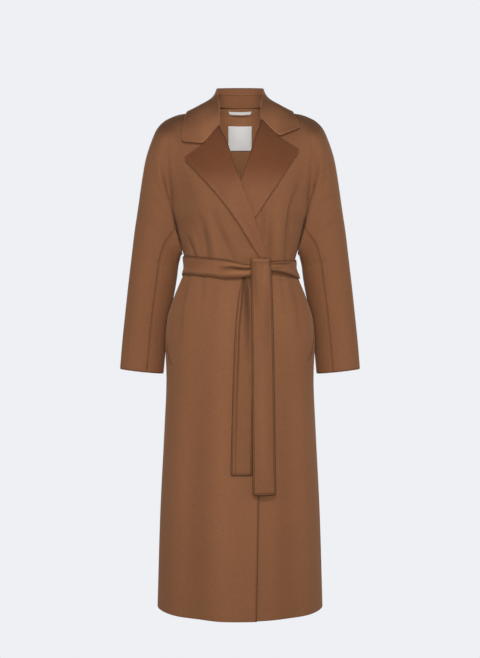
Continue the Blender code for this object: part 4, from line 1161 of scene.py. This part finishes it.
def label_weave():
    """A damask label: fine crossing threads, on the piece's own UV map."""
    finish, tree, shader = new_finish("label_weave", {"Roughness": 0.62, "Sheen Weight": 0.15})
    where = node(tree, "TexCoord", {}, "UV")
    crossed = reckon(tree, "MAXIMUM", *(
        node(tree, "TexWave", {"Scale": LABEL_THREADS, "Vector": where}, "Fac",
             bands_direction=direction) for direction in "XY"))
    feed(shader, {"Base Color": two_tones(tree, crossed, LABEL_SHADE, LABEL_WHITE),
                  "Normal": bumped(tree, crossed, 0.3, 0.0002)})
    return finish


def satin_ribbon():
    """A satin ribbon: smooth floats across it, on the piece's own UV map."""
    finish, tree, shader = new_finish("satin_ribbon", {"Anisotropic": 0.5, "Roughness": 0.32})
    floats = node(tree, "TexWave", {"Scale": SATIN_FLOATS, "Distortion": 0.4,
                                    "Vector": node(tree, "TexCoord", {}, "UV")}, "Fac",
                  bands_direction="Y")
    feed(shader, {"Base Color": two_tones(tree, floats, SATIN_SHADE, SATIN)})
    return finish


# ---------------------------------------------------------------- making pieces
BODY_ROWS, SLEEVE_ROWS = count(STOPS) + ARM_ROWS, count(SLEEVE_STOPS)
BELT_STEPS = count(ACROSS_BELT)
EDGE_CREASE = 0.85        # how crisp the cut edges stay when the cloth is smoothed
FINE_ENOUGH = 9000        # a cloth of this many faces has its edges rounded and no more
EDGE_ROUND, EDGE_ANGLE = 0.0005, 60.0
LEAST_WEIGHT, SOFT_FACTOR = 0.01, 0.6
SOFT_REACH, SOFT_FROM, SOFT_FADE, SOFT_PASSES = 0.028, -0.21, 0.08, 60   # at the armhole


def lay_grid(columns, rows, lay, turned_over=0.0):
    """A new grid laid where lay(across, up) says, both 0 to 1.

    lay gives a point, or a point and the painted shade there, which below 0 is painted light.
    """
    bpy.ops.object.select_all(action="DESELECT")
    bpy.ops.mesh.primitive_grid_add(x_subdivisions=columns, y_subdivisions=rows, size=1)
    grid = bpy.context.object
    places, painted_shades = [], []
    for vert in grid.data.vertices:
        laid = lay(round(vert.co.x + 0.5, 7), round(vert.co.y + 0.5, 7))
        point, depth = laid if isinstance(laid, tuple) else (laid, 0.0)
        places.extend(point)
        painted_shades.append(depth)
    grid.data.vertices.foreach_set("co", places)
    # a turned lapel goes from its low colour to its high one towards the top: its turned nap, and
    # painted shade
    nap_and_shade_parts = [turned_over * (0.5 + 0.5 * ease((vert.co.z - NAP_AND_SHADE_FROM) / NAP_AND_SHADE_REACH))
            for vert in grid.data.vertices]
    for name, values in (("pressed_and_painted_shade", painted_shades), ("turned", nap_and_shade_parts)):
        grid.data.attributes.new(name, "FLOAT", "POINT").data.foreach_set("value", values)
    return grid


def select_only(grids):
    """Select these and make the first one active."""
    bpy.ops.object.select_all(action="DESELECT")
    for grid in grids:
        grid.select_set(True)
    bpy.context.view_layer.objects.active = grids[0]


def edit_all(step, **settings):
    """One step of Edit Mode on the whole active cloth."""
    bpy.ops.object.mode_set(mode="EDIT")
    bpy.ops.mesh.select_all(action="SELECT")
    step(**settings)
    bpy.ops.object.mode_set(mode="OBJECT")


def modify(cloth, name, kind, **settings):
    """Apply one modifier to the active cloth."""
    modifier = cloth.modifiers.new(name, kind)
    for setting, value in settings.items():
        setattr(modifier, setting, value)
    bpy.ops.object.modifier_apply(modifier=name)


def join(grids, turned):
    """One cloth of several grids, welded where they share an edge."""
    select_only(grids)
    if len(grids) > 1:
        bpy.ops.object.join()
    edit_all(bpy.ops.mesh.remove_doubles, threshold=WELD)
    if len(grids) > 1:
        soften_armhole(bpy.context.object)
    if turned:
        edit_all(bpy.ops.mesh.flip_normals)
    return bpy.context.object


def open_edges(cloth):
    """The edges of the cloth that belong to one face only, each with that face."""
    faces = {}
    for face in cloth.data.polygons:
        for edge in face.edge_keys:
            faces.setdefault(edge, []).append(face)
    return {edge: beside[0] for edge, beside in faces.items() if len(beside) == 1}


def soften_armhole(cloth):
    """Let the chest run into the sleeve with no crease high on the armhole."""
    fixed = {number for edge in open_edges(cloth) for number in edge}
    group = cloth.vertex_groups.new(name="armhole")
    for vert in cloth.data.vertices:
        off = abs(vert.co.x) - read(ARMHOLE, vert.co.z)[0]
        weight = bell(off, SOFT_REACH) * ease((vert.co.z - SOFT_FROM) / SOFT_FADE)
        if weight > LEAST_WEIGHT and vert.index not in fixed:
            group.add([vert.index], weight, "REPLACE")
    modify(cloth, "soft", "SMOOTH", factor=SOFT_FACTOR, iterations=SOFT_PASSES,
           vertex_group=group.name)
    cloth.vertex_groups.clear()


def draw_in_edges(cloth):
    """Draw the cloth's edges back along its face by half a seam."""
    verts = cloth.data.vertices
    pulls = {}
    for (first, second), face in open_edges(cloth).items():
        run = verts[second].co - verts[first].co
        inwards = run.cross(face.normal).normalized()
        if inwards.dot(Vector(face.center) - verts[first].co) < 0:
            inwards.negate()
        for number in (first, second):
            pulls.setdefault(number, []).append(inwards)
    for number, both in pulls.items():
        spread_out = max(0.5, 1 + both[0].dot(both[-1]))
        verts[number].co += sum(both, Vector()) / spread_out * SEAM / 2
    cloth.data.update()


def finish_cloth(cloth, piece):
    draw_in_edges(cloth)
    cloth.data.materials.clear()
    for face_finish in piece.finish:
        cloth.data.materials.append(face_finish)
    coarse = len(cloth.data.polygons) < FINE_ENOUGH
    crease = EDGE_CREASE if coarse else 0.0
    select_only([cloth])
    modify(cloth, "wall", "SOLIDIFY", thickness=piece.wall, offset=-1, edge_crease_inner=crease,
           edge_crease_outer=crease, material_offset=len(piece.finish) - 1)
    if coarse:
        modify(cloth, "edges", "SUBSURF", levels=1, render_levels=1)
    else:
        modify(cloth, "edges", "BEVEL", width=EDGE_ROUND, segments=2, limit_method="ANGLE",
               angle_limit=radians(EDGE_ANGLE))
    bpy.ops.object.shade_smooth()
    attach(cloth, "root")
    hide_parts(piece.name)


def front(side):
    """The grids of a front: body, lapel and its half of the sleeve."""
    return [(FRONT_COLUMNS, BODY_ROWS, partial(front_panel, side)),
            (LAPEL_COLUMNS, KNOT_ROWS + GORGE_ROW, partial(lapel, side), 1.0),
            (UPPER_ROWS, SLEEVE_ROWS, partial(upper_sleeve, side, False))]


def back(side):
    """The grids of a half of the back: body and its half of the sleeve."""
    return [(NECK_COLUMNS + FRONT_COLUMNS, BODY_ROWS, partial(back_half, side)),
            (UPPER_ROWS, SLEEVE_ROWS, partial(upper_sleeve, side, True))]


def sleeve_panel(side):
    """The grid of an under-sleeve panel."""
    return [(2 * UNDER_ROWS, SLEEVE_ROWS, partial(under_sleeve, side))]


def both_sides(name, make, turned_side, flat, other, area):
    """The right and the left piece of one pattern, each resting on another of its side."""
    return [(f"{name}_{word}", make(side), CLOTH, body_wool, "wool", flat, "hung",
             [f"{other}_{word}"], area, side == turned_side)
            for side, word in ((RIGHT, "right"), (LEFT, "left"))]


# ---------------------------------------------------------------- the coat
group = wool_look_and_painted_shade()
# each second finish goes on the inner faces and is lighter, as painted light; the body's also
# carries the lapels' tones
body_wool = [wool("wool", BODY_WOOL, group),
             wool("wool_inside_painted_light_and_shade", INSIDE_WOOL_PAINTED_LIGHT, group, (LAPEL_WOOL, NAP_AND_SHADE_WOOL))]
collar_wool = [wool("wool_collar", COLLAR_WOOL, group),
               wool("wool_collar_inside_painted_light", COLLAR_INSIDE_PAINTED_LIGHT, group)]
belt_wool = [wool("wool_belt", BELT_WOOL, group)]

# One row for each piece: its grids, its finish, what it was cut to, and whether
# its faces have to be turned over.
PIECES = table("name grids wall finish slot flat held rests_on area turned", [
    *both_sides("front", front, LEFT, (0.72, 1.28), "back", 0.45),
    *both_sides("back", back, LEFT, (0.66, 1.24), "front", 0.38),
    *both_sides("under_sleeve", sleeve_panel, RIGHT, (0.16, 0.4), "front", 0.05),
    ("collar_fall", [(COLLAR_COLUMNS, INNER_ROWS + FALL_ROWS, fall_cloth)],
     CLOTH, collar_wool, "wool", (0.16, 0.62), "folded", ["collar_stand"], 0.06),
    ("collar_stand", [(STAND_COLUMNS, STAND_ROWS, stand_point)],
     CLOTH, collar_wool, "wool", (0.045, 0.3), "folded", ["back_right"], 0.011),
    ("belt_band", [(BAND_COLUMNS, BELT_STEPS, belt_band)],
     BELT_CLOTH, belt_wool, "wool", (0.05, 0.78), "gathered", ["front_right"], 0.035),
    ("belt_tail_front", [(BELT_STEPS, FRONT_TAIL_ROWS, tail_over_band)],
     BELT_CLOTH, belt_wool, "wool", (0.052, 0.6), "hung", ["belt_band"], 0.03),
    ("belt_tail_rear", [(BELT_STEPS, count(UP_TAIL),
                         partial(hanging_tail, TAIL_REAR, REAR_TAIL_CREASES))],
     BELT_CLOTH, belt_wool, "wool", (0.052, 0.48), "hung", ["belt_band"], 0.022),
    ("label", [(LABEL_STEPS, LABEL_STEPS, label)],
     TRIM_CLOTH, [label_weave()], "label_weave", (0.059, 0.061), "laid", ["back_right"], None),
    ("hanger_loop", [(LOOP_COLUMNS, LOOP_ROWS, hanger_loop)],
     TRIM_CLOTH, [satin_ribbon()], "satin_ribbon", (0.01, 0.065), "hung", ["back_right"], None),
])
for piece in PIECES:
    cloth = join([lay_grid(*grid) for grid in piece.grids], piece.turned)
    cloth.name = cloth.data.name = piece.name + "_cloth"
    finish_cloth(cloth, piece)

# ---------------------------------------------------------------- stage
BACKGROUND = (0.855, 0.871, 0.905)   # the plain pale room, as the camera sees it
AMBIENT, AMBIENT_STRENGTH = (0.88, 0.88, 0.9), 0.25
FLOOR_HEIGHT, FLOOR_SIZE, FLOOR_GREY = -1.45, 12, (0.2, 0.2, 0.21)
CAMERA_PLACE = (0.0, -2.8, -0.524)
FIELD_HEIGHT = 1.566      # metres from the picture's top to its foot, at the coat
WARM, WHITE = (1.0, 0.99, 0.975), (1.0, 1.0, 1.0)
# One row for each soft light: place, what it looks at, size and power.
LIGHTS = table("name place target width height power colour", [
    ("key", (0.05, -2.3, 1.55), (0.0, 0.0, -0.35), 0.4, 0.4, 47.0, WARM),
    ("front", (0.0, -1.5, -0.6), (0.0, 0.0, -0.6), 0.4, 0.4, 10.2, WARM),
    ("side_right", (-2.2, -0.8, -0.4), (0.0, 0.0, -0.5), 1.3, 1.3, 12.0, WARM),
    ("side_left", (2.2, -0.8, -0.4), (0.0, 0.0, -0.5), 1.3, 1.3, 14.5, WARM),
    ("behind", (-0.6, 2.7, 0.5), (0.0, 0.0, -0.5), 1.2, 1.6, 52.0, WHITE),
    ("behind_left", (1.7, 2.0, 0.4), (0.0, 0.0, -0.5), 1.4, 1.8, 12.0, WHITE),
])


def light(row):
    """One soft light."""
    towards = (Vector(row.target) - Vector(row.place)).to_track_quat("-Z", "Y").to_euler()
    bpy.ops.object.light_add(type="AREA", location=row.place, rotation=towards)
    lamp = bpy.context.object
    lamp.name = row.name
    lamp.data.shape = "RECTANGLE"
    lamp.data.size, lamp.data.size_y = row.width, row.height
    lamp.data.energy, lamp.data.color = row.power, row.colour
    lamp.visible_camera = False


def camera_sees(tree, shown, real):
    """One shader for what the camera sees directly, and another for all the rest."""
    seen = node(tree, "LightPath", {}, "Is Camera Ray")
    return node(tree, "MixShader", {0: seen, 1: real, 2: shown})


def floor():
    """A pale floor that the camera sees as part of the pale room."""
    bpy.ops.object.select_all(action="DESELECT")
    bpy.ops.mesh.primitive_grid_add(x_subdivisions=8, y_subdivisions=8, size=FLOOR_SIZE,
                                    location=(0, 0, FLOOR_HEIGHT))
    ground = bpy.context.object
    ground.name = "floor"
    finish, tree, shader = new_finish("floor", {"Base Color": (*FLOOR_GREY, 1.0),
                                                "Roughness": 0.9})
    glow = node(tree, "Emission", {"Color": (*BACKGROUND, 1.0)})
    feed(tree.nodes["Material Output"],
         {"Surface": camera_sees(tree, glow, shader.outputs[0])})
    ground.data.materials.append(finish)


def room():
    """The pale room: what the camera sees, and the softer light that it gives."""
    world = bpy.data.worlds.new("room")
    bpy.context.scene.world = world
    world.use_nodes = True
    tree = world.node_tree
    tree.nodes.clear()
    given = node(tree, "Background", {"Color": (*AMBIENT, 1.0), "Strength": AMBIENT_STRENGTH})
    shown = node(tree, "Background", {"Color": (*BACKGROUND, 1.0)})
    add_node(tree, "OutputWorld", {"Surface": camera_sees(tree, shown, given)})


def camera():
    """The camera, level and straight in front, at the height of the hips."""
    bpy.ops.object.camera_add(location=CAMERA_PLACE, rotation=(pi / 2, 0, 0))
    view = bpy.context.object
    view.data.sensor_fit = "VERTICAL"
    view.data.sensor_height = 24.0
    view.data.lens = 24.0 * -CAMERA_PLACE[1] / FIELD_HEIGHT
    bpy.context.scene.camera = view


for row in LIGHTS:
    light(row)
floor()
room()
camera()
bpy.context.scene.view_settings.view_transform = "Standard"
